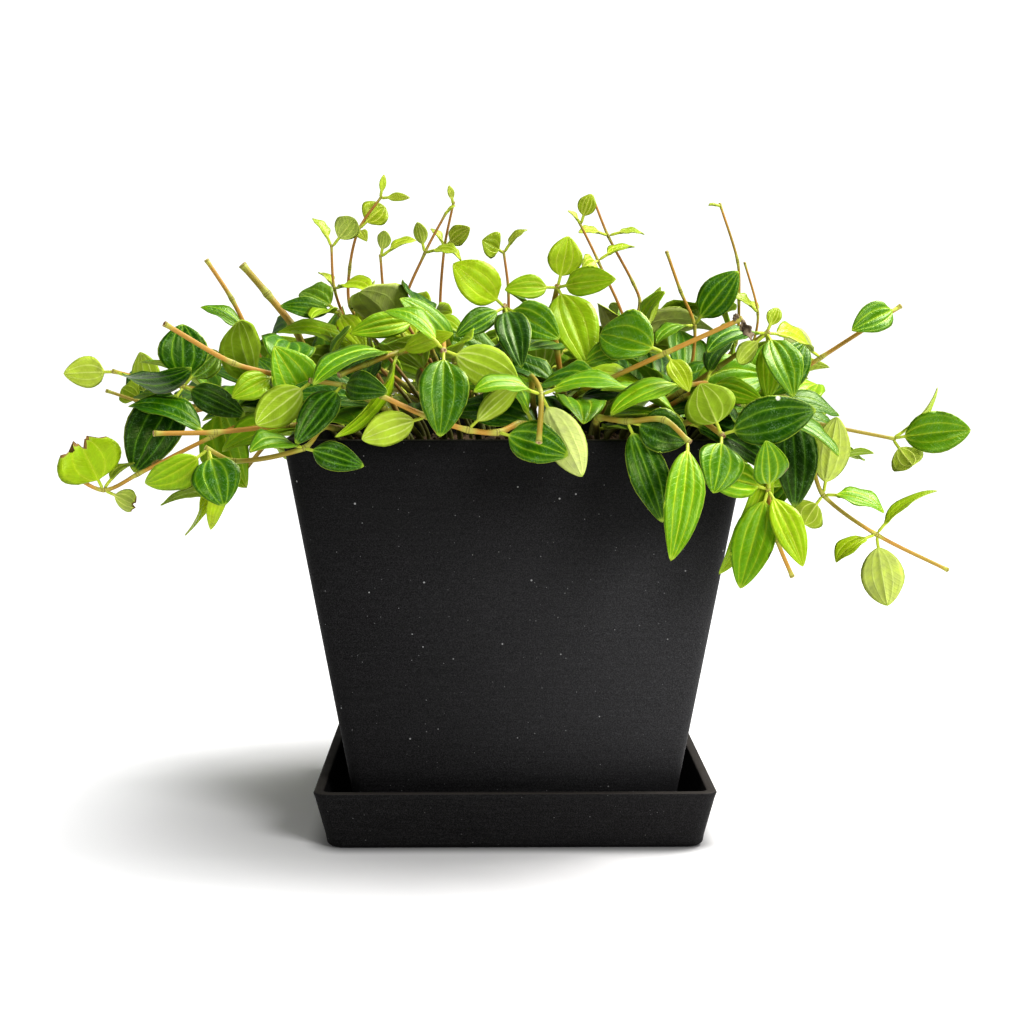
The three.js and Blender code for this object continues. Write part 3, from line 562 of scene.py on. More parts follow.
def groundFinish():
    look = groundLook
    finish, tree, shader = newFinish("paleGround", look["specular"], **{"Emission Strength": 1.0})
    cloud = grain(tree, look["cloudSize"], 2.0)
    away = vectorCalc(tree, "LENGTH", objectPlace(tree))["Value"]
    bare = soften(tree, away, *look["shadows"])
    # distance from the foot, a square with round corners: length(max(|place| - inner, 0))
    beyond = vectorCalc(tree, "ABSOLUTE", objectPlace(tree))[0]
    beyond = vectorCalc(tree, "SUBTRACT", beyond, (look["inner"],) * 3)[0]
    beyond = vectorCalc(tree, "MAXIMUM", beyond, (0, 0, 0))[0]
    beyond = vectorCalc(tree, "LENGTH", beyond)["Value"]
    # painted contact shadow: the ground's colour is darkened in a strip along the saucer's foot
    paintedContactShadow = soften(tree, beyond, look["corner"], look["corner"] + look["reach"], look["least"], 1.0)
    near = dimmed(tree, tint(tree, cloud, *look["near"]), paintedContactShadow)
    dress(tree, shader, tint(tree, bare, near, look["far"]), soften(tree, cloud, *look["gloss"]))
    # painted glow: the ground itself emits light, more farther from the pot, so that its shadows fade there
    glow = grey(tree, calc(tree, "MULTIPLY_ADD", bare, *look["glow"]))
    tree.links.new(glow, shader.inputs["Emission Color"])
    return finish


leafTop = leafFinish("leafUpperSide", upperSide)
leafUnder = leafFinish("leafUnderside", underside)
stemSkin = stemFinish()
cutEnd, driedLeaf = drabFinish("cutEnd"), drabFinish("driedLeaf")
potPlastic, saucerPlastic = plasticFinish("potPlastic"), plasticFinish("saucerPlastic")
looseMix = drabFinish("looseMix")
paleGround = groundFinish()
print("finishes built")


# Mesh helpers

# A mesh piece from points in millimetres, four-sided and three-sided faces and fields on its points
def makePiece(name, points, quads, triangles, finishes, marks=None, fields=None, slot=None, stands=(),
              smooth=True):
    quads = np.asarray(quads, np.int32).reshape(-1, 4)
    triangles = np.asarray(triangles, np.int32).reshape(-1, 3)
    corners = np.concatenate([quads.ravel(), triangles.ravel()])
    sizes = np.concatenate([np.full(len(quads), 4), np.full(len(triangles), 3)]).astype(np.int32)
    starts = (np.cumsum(sizes) - sizes).astype(np.int32)
    mesh = bpy.data.meshes.new(name)
    mesh.vertices.add(len(points))
    mesh.vertices.foreach_set("co", (np.asarray(points) * metre).astype(np.float32).ravel())
    mesh.loops.add(len(corners))
    mesh.loops.foreach_set("vertex_index", corners)
    mesh.polygons.add(len(sizes))
    mesh.polygons.foreach_set("loop_start", starts)
    mesh.polygons.foreach_set("loop_total", sizes)
    mesh.polygons.foreach_set("use_smooth", np.full(len(sizes), smooth))
    if marks is not None:
        mesh.polygons.foreach_set("material_index", np.asarray(marks, np.int32))
    for finish in finishes:
        mesh.materials.append(finish)
    for label, values in (fields or {}).items():
        layer = mesh.attributes.new(label, "FLOAT_VECTOR", "POINT")
        layer.data.foreach_set("vector", np.asarray(values, np.float32).ravel())
    mesh.update(calc_edges=True)
    mesh.validate()
    piece = addObject(name, mesh)
    if slot:
        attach(piece, "root")
    if stands:
        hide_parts(*stands)
    return piece


# Faces round a stack of rings of equal count: row r, place k to the next place and the next row
def ringFaces(rows, count, start=0):
    r, k = np.meshgrid(np.arange(rows - 1), np.arange(count), indexing="ij")
    a = start + r * count + k
    b = start + r * count + (k + 1) % count
    return np.stack([a, b, b + count, a + count], -1).reshape(-1, 4)


# Faces from one ring to a single point, facing back (towards the start) or on
def fanFaces(ringStart, count, apex, back):
    k = np.arange(count)
    here, after = ringStart + k, ringStart + (k + 1) % count
    first, second = (after, here) if back else (here, after)
    return np.stack([np.full(count, apex), first, second], -1)


# A stack of rings closed by a point at each end, by default in the middle of the end ring
def closedShell(rings, tips=None):
    rows, count = rings.shape[:2]
    tips = rings[[0, -1]].mean(axis=1) if tips is None else tips
    ends = np.concatenate([fanFaces(0, count, rows * count, True),
                           fanFaces((rows - 1) * count, count, rows * count + 1, False)])
    return np.concatenate([rings.reshape(-1, 3), tips]), ringFaces(rows, count), ends


# Points, four-sided faces and end faces of several shells as one, counted on from shell to shell
def joined(shells):
    starts = np.cumsum([0] + [len(shell[0]) for shell in shells])
    faces = [np.concatenate([shell[k] + start for shell, start in zip(shells, starts)]) for k in (1, 2)]
    return np.concatenate([shell[0] for shell in shells]), *faces


# Growth of the plant, by the same rule as the solids

pot = dict(
    rim=177.4, foot=124.4, height=157.0, wall=4.5, floor=5.0, corner=6.5, bottom=4.3,
    edge=1.5, lip=1.1, fillet=4.0, cornerLess=0.6,  # the last as a share of the wall
    outerRises=(6, 30, 60, 95, 130, 150), innerDrops=(6, 40), innerRises=(60, 20),
    holes=dict(radius=5.0, spread=30.0),
)
soil = dict(belowRim=9.0, mound=4.0, clearance=0.4)
rimZ = pot["bottom"] + pot["height"]
soilEdgeZ = rimZ - soil["belowRim"]
growth = dict(
    seed=78301, girth=1.35, endGirth=1.1, holeDepth=9.0, seatGap=0.3, sides=3, whorlLine=-10,
    fineFrom=30, halfThick=0.6, stalk=5.0, stalkShare=0.3, rootBack=1.2, bow=0.09, cup=0.22,  # of a leaf
    archFrom=3.0, archRoot=46.0, sway=0.16, archOver=12, archMost=106, archLeast=26, archShort=30,
    top=213, besidePot=84, bottom=158,  # no whorled leaf's tip is above top, or hangs in front of the pot
    match=0.04, leastFound=0.6,  # how near a corner lies to its solid's, and the share of them that must
)
# Leaves of a whorl: angles in radians, the turn of the face in degrees. A pair is a range to draw from.
whorlForm = dict(
    turn=0.35, spread=(0.95, 1.35), length=(31, 42), lateFrom=5, late=0.78, face=24, wide=(0.48, 0.6),
    outward=0.55, flatten=0.6, lift=0.12,
)

# Stems read from the front: foot, path, leaves, and girths at foot and end where not growth's.
# A leaf is (point of the path, tip from that point x, y, z, turn of its face, width).
thick, slim, shoot = (1.8, 1.5), (1.1, 0.65), (0.95, 0.55)
shownStems = [
    ((-62, -15), [(-102, -28, 174), (-131, -48, 180), (-147, -45, 183), (-160, -42, 186)],
     [(2, -18, -14, -33, 8, 23), (2, 0, 0, 25, 8, 20), (2, 26, -14, -11, 8, 12), (4, -20, 2, -1, 172, 13),
      (4, 27, -24, -16, -70, 19), (2, 13, 8, 14, 8, 14)]),
    ((-64, 8), [(-106, 5, 169), (-153, -5, 172), (-169, -8, 177)],
     [(2, -3, 5, 21, 172, 13), (2, -11, 5, 6, 8, 11)]),
    ((-58, -44), [(-88, -72, 166), (-114, -84, 164), (-136, -92, 164)],
     []),
    ((-70, -32), [(-94, -50, 170), (-118, -66, 161), (-146, -70, 147), (-159, -72, 141), (-172, -74, 148)],
     [(4, -9, -6, 22, 8, 26), (4, 14, -6, -6, 172, 9), (4, 11, 8, 10, 62, 10), (2, -24, 26, 5, 62, 19)]),
    ((-62, -66), [(-73, -92, 166), (-79, -101, 159), (-105, -98, 154), (-116, -97, 159)],
     [(2, 23, -11, -6, 8, 11), (2, -18, -17, 0, 62, 17), (4, 8, -11, -21, 8, 19), (4, -23, 1, -14, -35, 16),
      (4, -11, 5, -40, -70, 12), (3, -11, 10, -27, 8, 7)]),
    ((-55, 6), [(-100, 2, 179), (-109, -2, 198), (-117, -4, 215), (-127, -6, 231)],
     [(2, -21, -2, 14, 62, 12)]),
    ((-46, -6), [(-84, -4, 189), (-91, -6, 203), (-102, -6, 217), (-112, -8, 229)],
     [(2, -13, 26, -7, 62, 17)], *thick),
    ((-50, -30), [(-84, -52, 180), (-92, -66, 185), (-108, -76, 190), (-132, -88, 205)],
     [(2, 3, 24, 13, 8, 22), (2, -16, -14, -8, 8, 12)]),
    ((-28, -38), [(-37, -64, 194), (-45, -82, 194), (-56, -92, 190), (-66, -98, 186)],
     [(2, -22, -30, -30, -70, 13), (2, 25, -6, 6, 8, 8), (2, -30, -26, -11, 62, 19)]),
    ((-36, -54), [(-57, -86, 177), (-65, -93, 182), (-77, -97, 184)],
     [(2, -16, -19, -21, 8, 13), (3, -19, -9, -16, 172, 15), (2, 22, -17, -5, 8, 12)]),
    ((18, -68), [(1, -98, 168), (-7, -104, 165), (-18, -105, 166), (-33, -106, 171), (-50, -110, 179)],
     [(2, 26, -8, -8, 8, 16), (3, 19, -3, 17, 172, 9), (4, -24, -6, -8, 172, 13)]),
    ((-14, -46), [(-27, -74, 200), (-27, -100, 195)],
     [(2, -1, -16, -31, 8, 19), (2, 28, -4, -11, 172, 16), (2, -20, 16, 11, 62, 16)]),
    ((0, -28), [(-3, -44, 196), (-4, -60, 212)],
     [(2, -20, -6, 16, 8, 17), (2, 21, -16, -13, 8, 16), (2, -19, -12, -12, 8, 10),
      (2, 7, -24, -27, 8, 14)]),
    ((22, -28), [(15, -46, 209), (17, -52, 220)],
     [(2, 4, -2, 19, 8, 14), (2, 22, -14, 2, 8, 12), (2, -21, -6, -2, 8, 10), (2, 11, -24, -32, 8, 19)]),
    ((8, -56), [(6, -88, 185), (9, -108, 179), (8, -118, 162)],
     [(2, 14, -14, -28, 172, 15), (2, 31, -4, 3, 62, 18), (2, -28, 2, -1, 62, 16)]),
    ((46, -46), [(73, -76, 182), (65, -90, 182)],
     [(2, -30, -14, -11, 62, 19), (1, 20, -16, -6, 8, 10), (1, 15, 16, 10, 62, 13)]),
    ((14, -36), [(26, -66, 179), (35, -84, 184), (56, -92, 194), (84, -98, 207)],
     [(3, -24, 12, 7, 20, 22), (3, 8, -12, -14, 8, 9)]),
    ((44, -26), [(64, -62, 178), (78, -70, 188), (97, -76, 202)],
     [(3, 7, -20, -24, 8, 15), (3, -1, -12, -24, 8, 11), (3, -13, -8, -12, 172, 8), (3, 19, 16, -8, 62, 15),
      (3, 4, 4, 9, 8, 6), (3, -25, -14, -8, 62, 17)]),
    ((60, -12), [(73, -16, 186), (74, -20, 204), (68, -22, 218), (62, -24, 234)],
     [(2, 17, -6, 22, 8, 15), (2, -17, -14, -7, 62, 13)]),
    ((66, 12), [(95, 14, 196), (96, 12, 215), (95, 10, 231), (87, 8, 255)],
     [(2, 6, -10, -5, 62, 8), (4, -5, -2, -1, 62, 3)], *slim),
    ((72, -2), [(100, -2, 196), (102, -4, 209), (96, -6, 230)],
     [(2, -11, -4, 7, 62, 8)], *slim),
    ((56, -62), [(69, -96, 169), (76, -110, 164)],
     [(2, 33, -8, 10, 8, 18), (2, -8, 6, 19, 172, 20), (2, -5, -14, -20, 8, 18)]),
    ((32, -66), [(31, -94, 170), (41, -104, 169), (54, -112, 170), (63, -118, 162)],
     [(2, 22, -4, -7, 8, 17), (2, 13, -8, -37, 8, 15), (4, -2, -2, -22, 8, 10), (4, -9, -14, -44, 8, 15)]),
    ((74, -66), [(92, -92, 173), (95, -104, 158), (93, -108, 144), (97, -106, 125), (103, -104, 111)],
     [(3, -25, -14, 7, 8, 14), (3, -3, -16, 19, 8, 14), (3, -11, -8, -36, 8, 16), (3, 12, -10, -29, 8, 12),
      (2, -19, 2, -47, -25, 11)]),
    ((76, -46), [(106, -66, 176), (114, -76, 152), (119, -74, 139), (141, -68, 123), (171, -60, 108)],
     [(1, 2, -10, -42, 8, 18), (3, 4, -10, 29, 172, 15), (3, 23, -6, -6, 62, 16), (3, -8, -4, -11, 172, 15),
      (4, -17, -6, -10, 62, 12), (4, 3, -10, -27, 172, 17), (4, 25, 6, 17, 70, 9)]),
    ((74, -22), [(106, -48, 170), (118, -50, 166), (152, -46, 159)],
     [(3, 29, -6, 4, 8, 17), (3, 19, 2, 21, -70, 11), (3, 5, -12, -10, 172, 14)]),
    ((74, -8), [(112, -22, 182), (125, -26, 191), (157, -28, 212)],
     [(3, -22, -12, -10, 8, 13), (2, -17, -14, 11, 172, 10)]),
    ((-36, 4), [(-67, -4, 200), (-74, -8, 219), (-75, -10, 237)],
     [(3, 10, -6, 11, 172, 11), (3, -8, 2, 11, 62, 8), (2, 16, -14, -1, 62, 14),
      (2, -7, 8, 7, 62, 7)], *shoot),
    ((-32, 18), [(-69, 14, 212), (-69, 12, 228), (-65, 10, 244), (-55, 8, 258)],
     [(4, 1, 0, 9, 8, 3), (4, 12, -4, -1, 8, 4), (3, 11, 4, 10, 8, 13), (3, 4, -10, -5, 8, 5)], *shoot),
    ((-26, -8), [(-53, -6, 214), (-55, -8, 233)],
     [(2, 2, -4, 10, 172, 6), (2, 15, 0, 6, 62, 9)], *shoot),
    ((-18, 6), [(-46, 2, 210), (-37, 4, 234), (-28, 6, 251)],
     [(2, -3, -2, 13, 172, 6), (2, 14, -8, 0, 62, 9), (1, 12, -16, 4, 62, 11),
      (3, 4, 0, 3, 62, 3)], *shoot),
    ((-10, 22), [(-29, 22, 201), (-31, 20, 210), (-29, 18, 237), (-25, 16, 256)],
     [(3, 11, -8, 8, 8, 9), (3, -6, 2, 8, 62, 6), (4, -2, 0, 7, 8, 3), (3, 7, 6, -6, 62, 6)], *shoot),
    ((34, 28), [(55, 26, 213), (52, 26, 222), (41, 24, 242), (34, 22, 259)],
     [(3, -13, -6, 1, 62, 8), (3, 16, 2, 1, 62, 8)], *shoot),
    ((28, 14), [(48, 12, 203), (36, 10, 231), (28, 8, 247)],
     [(3, 5, 0, 12, 8, 8), (3, -5, 0, 5, 62, 4), (2, -7, -8, -3, 8, 9), (2, 16, 6, 6, 62, 10)], *shoot),
    ((-3, 4), [(-2, 0, 219), (-4, 0, 235)],
     [(2, -9, -6, 4, 8, 12), (2, 10, 2, 9, 62, 8)], *shoot),
    ((34, -4), [(53, -14, 199)],
     [(1, 8, 4, 21, 172, 6), (1, 8, -12, 19, 70, 13)]),
    ((-44, -18), [(-72, -18, 210)],
     [(1, -23, -6, 2, 8, 9), (1, -16, 8, 8, 40, 15), (1, 13, -26, -16, 8, 10), (1, -13, -14, -7, 62, 13)]),
    ((-22, -22), [(-38, -36, 207)],
     [(1, -27, -14, -6, 8, 11), (1, 17, -14, -6, 62, 13), (1, -7, 26, 12, 62, 17)]),
]

# Stems placed by rule: way they lean in degrees, foot's distance, reach, rise above the rim
ruleStems = [
    (20, 52, 150, -16), (36, 60, 146, 6), (50, 66, 156, -34), (63, 50, 138, 16), (76, 62, 152, -12),
    (88, 44, 122, 26), (97, 66, 156, -40), (109, 52, 142, 10), (121, 62, 150, -20), (134, 56, 146, 14),
    (146, 66, 158, -38), (160, 50, 158, 2), (70, 22, 76, 38), (112, 34, 88, 34), (25, 28, 88, 36),
    (155, 30, 90, 30), (-78, 24, 86, 26), (-8, 40, 126, -20), (-170, 44, 140, 4),
]
# Whorls by kind of stem: point of the path and number of leaves
whorls = dict(rule=[(3, 2), (4, 3), (5, 2), (6, 2)], front=[(2, 1), (3, 3)], shoot=[(3, 2)])

# Moves tried until a stem, in millimetres, or a leaf, in shares of its length, was clear
stemMoves = [
    (0, 0, 0), (0, 0, 3), (0, -4, 1), (0, 4, 1), (3, 0, 2), (-3, 0, 2), (0, -5, 5), (0, 5, 5),
    (0, 9, 2), (0, -8, 6), (5, 4, 5), (-5, 4, 5), (0, 0, 8), (6, 8, 8), (-6, 8, 8), (0, 12, 10),
]
leafMoves = [
    (0, 0, 0), (0, -0.2, 0), (0, 0.2, 0), (0, -0.35, 0.1), (0, 0.35, 0.1), (0.1, 0, 0.2),
    (-0.1, -0.2, 0.25), (0.1, 0.2, 0.25), (0, -0.6, 0.1), (0, 0.6, 0.1), (-0.2, -0.2, -0.25),
    (0.2, 0.1, 0.45), (-0.3, 0.1, 0.4), (0.3, -0.4, 0.5), (-0.4, -0.4, 0.3),
]

drawn = [growth["seed"]]


def draw(low, high):
    drawn[0] = (drawn[0] * 16807) % 2147483647
    return low + ((high - low) * drawn[0]) / 2147483647


def potHalfAt(z):
    return (pot["foot"] + (pot["rim"] - pot["foot"]) * (z - pot["bottom"]) / pot["height"]) / 2


# Height of the soil: mound * (1 - x^2)(1 - y^2) over its edge, x and y as shares of the half width
def soilTopAt(x, y):
    half = potHalfAt(soilEdgeZ) - pot["wall"]
    return soilEdgeZ + soil["mound"] * np.maximum(0, (1 - (x / half) ** 2) * (1 - (y / half) ** 2))


def ruleStem(lean, near, far, rise):
    angle = math.radians(lean)
    sway = draw(-growth["sway"], growth["sway"])

    def at(radius, turn, z):
        return (radius * math.cos(angle + turn), radius * math.sin(angle + turn), z)

    over = min(far - growth["archShort"], max(near + growth["archLeast"], growth["archMost"]))
    arch = rimZ + growth["archOver"] + 0.3 * max(0, rise)
    middle = at(over + (far - over) * 0.5, sway * 0.6, arch + (rimZ + rise - arch) * 0.45)
    path = [at(over, 0, arch), middle, at(far, sway, rimZ + rise)]
    return at(near, 0, 0)[:2], path, []


# Centre points: foot in the soil, an arch in three steps by a cubic through its neighbours, the path
def centreLine(foot, path):
    ground = soilTopAt(*foot)
    below = np.array([*foot, ground - growth["archRoot"]])
    start = np.array([*foot, ground + growth["archFrom"]])
    first = path[0]
    after = path[1] if len(path) > 1 else 2 * first - start
    points = [np.array([*foot, ground - growth["holeDepth"] + growth["seatGap"]]), start]
    for s in (1 / 3, 2 / 3):
        square = 2 * below - 5 * start + 4 * first - after
        cube = 3 * start - 3 * first - below + after
        points.append(0.5 * (2 * start + (first - below) * s + square * s * s + cube * s * s * s))
    return np.array(points + list(path))


# Corners of the solid stem's rings, to find it among the solids
def stemCorners(points, girth, endGirth):
    side = np.array([1.0, 0, 0])
    corners = []
    last = len(points) - 1
    for i, point in enumerate(points):
        along = unit(points[min(last, i + 1)] - points[max(0, i - 1)])
        side = unit(side - along * side.dot(along))
        other = np.cross(along, side)
        radius = girth + (endGirth - girth) * i / last
        for k in range(growth["sides"]):
            angle = 2 * math.pi * k / growth["sides"]
            corners.append(point + radius * (side * math.cos(angle) + other * math.sin(angle)))
    return np.array(corners)


def leafFace(along, toward, turn):
    face = unit(toward - along * toward.dot(along))
    side = np.cross(along, face)
    if side[2] + 0.3 * side[0] < 0:
        side = -side
    angle = math.radians(turn)
    return face * math.cos(angle) + side * math.sin(angle)


# Half width of a blade as a share of its greatest: sin(pi b^0.86)^0.72 from its base 0 to its tip 1
def bladeShape(b):
    return np.maximum(0, np.sin(np.pi * np.power(b, 0.86))) ** 0.72


def stalkShare(length):
    return min(growth["stalkShare"], growth["stalk"] / length)


# Corners of the solid leaf past its stalk, to find it among the solids
def leafCorners(leaf):
    reach = leaf["tip"] - leaf["base"]
    length = np.linalg.norm(reach)
    side = unit(np.cross(reach, leaf["face"]))
    stalk = stalkShare(length)
    stations = np.array([0.2, 0.5, 0.8] if length > growth["fineFrom"] else [0.3, 0.7])
    t = (stalk + (1 - stalk) * stations)[:, None]
    half = (leaf["width"] / 2 * bladeShape(stations))[:, None]
    lift = growth["bow"] * length * 4
    point = leaf["base"] + reach * t + leaf["face"] * lift * t * (1 - t)
    up = np.cross(side, reach + leaf["face"] * lift * (1 - 2 * t))
    up = up / np.linalg.norm(up, axis=1)[:, None]
    cup = up * growth["cup"] * half
    skin = up * growth["halfThick"]
    ring = [point - side * half + cup, point + skin, point + side * half + cup, point - skin]
    return np.concatenate([*ring, leaf["tip"][None]])


# Share of corners that lie on a solid's own corners
def shareFound(corners, cloud):
    away = np.abs(corners[:, None, :] - cloud[None, :, :]).max(axis=2).min(axis=1)
    return float((away < growth["match"]).mean())


def bestOf(choices, cornersOf, cloud):
    shares = [shareFound(cornersOf(choice), cloud) for choice in choices]
    best = int(np.argmax(shares))
    return choices[best] if shares[best] >= growth["leastFound"] else None


def solidCloud(name):
    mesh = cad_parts[name].data
    places = np.empty(len(mesh.vertices) * 3, np.float32)
    mesh.vertices.foreach_get("co", places)
    return np.unique((places.reshape(-1, 3) / metre).round(3), axis=0)


toFront = np.array([0, -1.0, 0.08])


def listedLeaves(stem):
    return [
        dict(at=at + 3, reach=np.array([x, y, z], float), toward=toFront, turn=turn, width=width, listed=k)
        for k, (at, x, y, z, turn, width) in enumerate(stem["leaves"])
    ]


def whorlLeaves(stem):
    form, points, found = whorlForm, stem["points"], []
    last = len(points) - 1
    for at, count in stem["whorls"]:
        along = unit(points[min(at + 1, last)] - points[at - 1])
        out = unit(points[at] * [1, 1, 0])
        side = unit(np.cross(along, [0, 0, 1]))
        over = np.cross(side, along)
        toward = np.array([0, 0, 1.0]) + form["outward"] * out
        start = draw(0, 2 * math.pi)
        for k in range(count):
            angle = start + 2 * math.pi * k / count + draw(-form["turn"], form["turn"])
            spread = draw(*form["spread"])
            length = draw(*form["length"]) * (form["late"] if at > form["lateFrom"] else 1)
            turn = draw(-form["face"], form["face"])
            width = length * draw(*form["wide"])
            reach = along * math.cos(spread) + side * math.sin(spread) * math.cos(angle)
            reach = reach + over * math.sin(spread) * math.sin(angle)
            reach[2] = reach[2] * form["flatten"] + form["lift"]
            reach = unit(reach) * length
            tip = points[at] + reach
            hangs = tip[1] < -growth["besidePot"] and abs(tip[0]) < growth["besidePot"]
            if tip[2] > growth["top"] or (hangs and tip[2] < growth["bottom"]):
                continue
            found.append(dict(at=at, reach=reach, toward=toward, turn=turn, width=width, listed=None))
    return found


# A leaf with its place: root on the stem's centre line, tip moved as one of the choices says
def placedLeaf(stem, leaf, move):
    points, at = stem["points"], leaf["at"]
    base = points[at]
    if at == len(points) - 1:
        base = base + unit(points[at - 1] - base) * growth["rootBack"]
    length = np.linalg.norm(leaf["reach"])
    reach = unit(leaf["reach"] + np.array(move) * length) * length
    face = leafFace(unit(reach), leaf["toward"], leaf["turn"])
    return dict(leaf, base=base, tip=points[at] + reach, face=face)


def growPlant():
    plant = []
    rows = shownStems + [ruleStem(*row) for row in ruleStems]
    for k, row in enumerate(rows):
        foot, path, leaves, girth, endGirth = (*row, growth["girth"], growth["endGirth"])[:5]
        name = "leafy_stem_%02d" % (k + 1)
        cloud = solidCloud(name)
        lines = [centreLine(foot, np.array(path, float) + move) for move in stemMoves]
        points = bestOf(lines, lambda line: stemCorners(line, girth, endGirth), cloud)
        if points is None:
            raise ValueError(name + " isn't where the rule puts it")
        kind = "rule" if k >= len(shownStems) else "front" if foot[1] < growth["whorlLine"] else "shoot"
        plant.append(dict(name=name, points=points, girth=girth, endGirth=endGirth, leaves=leaves,
                          whorls=whorls[kind], cloud=cloud, grown=[], number=k + 1))
    for leavesOf in (listedLeaves, whorlLeaves):
        for stem in plant:
            for leaf in leavesOf(stem):
                choices = [placedLeaf(stem, leaf, move) for move in leafMoves]
                placed = bestOf(choices, leafCorners, stem["cloud"])
                if placed is not None:
                    stem["grown"].append(placed)
    return plant


plant = growPlant()
print("plant grown:", len(plant), "stems,", sum(len(stem["grown"]) for stem in plant), "leaves")


# Fine leaves and stems. A pair of numbers in their dictionaries is a range to draw from, unless noted.

vary = np.random.default_rng(71)
leafForm = dict(
    wide=9.0, stalkRadius=0.62, rib=0.42, ribLess=0.45, edgeThin=0.6,
    bladeFrom=0.12, tipFrom=0.6, tipSharp=0.06,  # the first two as shares of the blade's length
    blunt=(2, 5),  # power of the rounded skin on the stalk, and what the blade adds
    keel=(0.16, 0.4), keelWide=0.9,  # depth of the groove above and of the rib below
    bulge=0.55, fullFrom=8, ripple=0.8, waves=(1.2, 2.4), twist=11.0, droop=0.035, drooping=(-0.3, 1.0),
    cupping=(0.9, 1.6), bittenOn=0.10,
    columns=(0.0, 0.11, 0.22, 0.33, 0.44, 0.62, 0.8, 1.0), fewColumns=(0.0, 0.22, 0.44, 0.8, 1.0),
    stalkRows=(0.35, 0.7, 1.0),
    rows=(0.02, 0.06, 0.12, 0.2, 0.29, 0.39, 0.5, 0.61, 0.71, 0.8, 0.87, 0.93, 0.975),
)


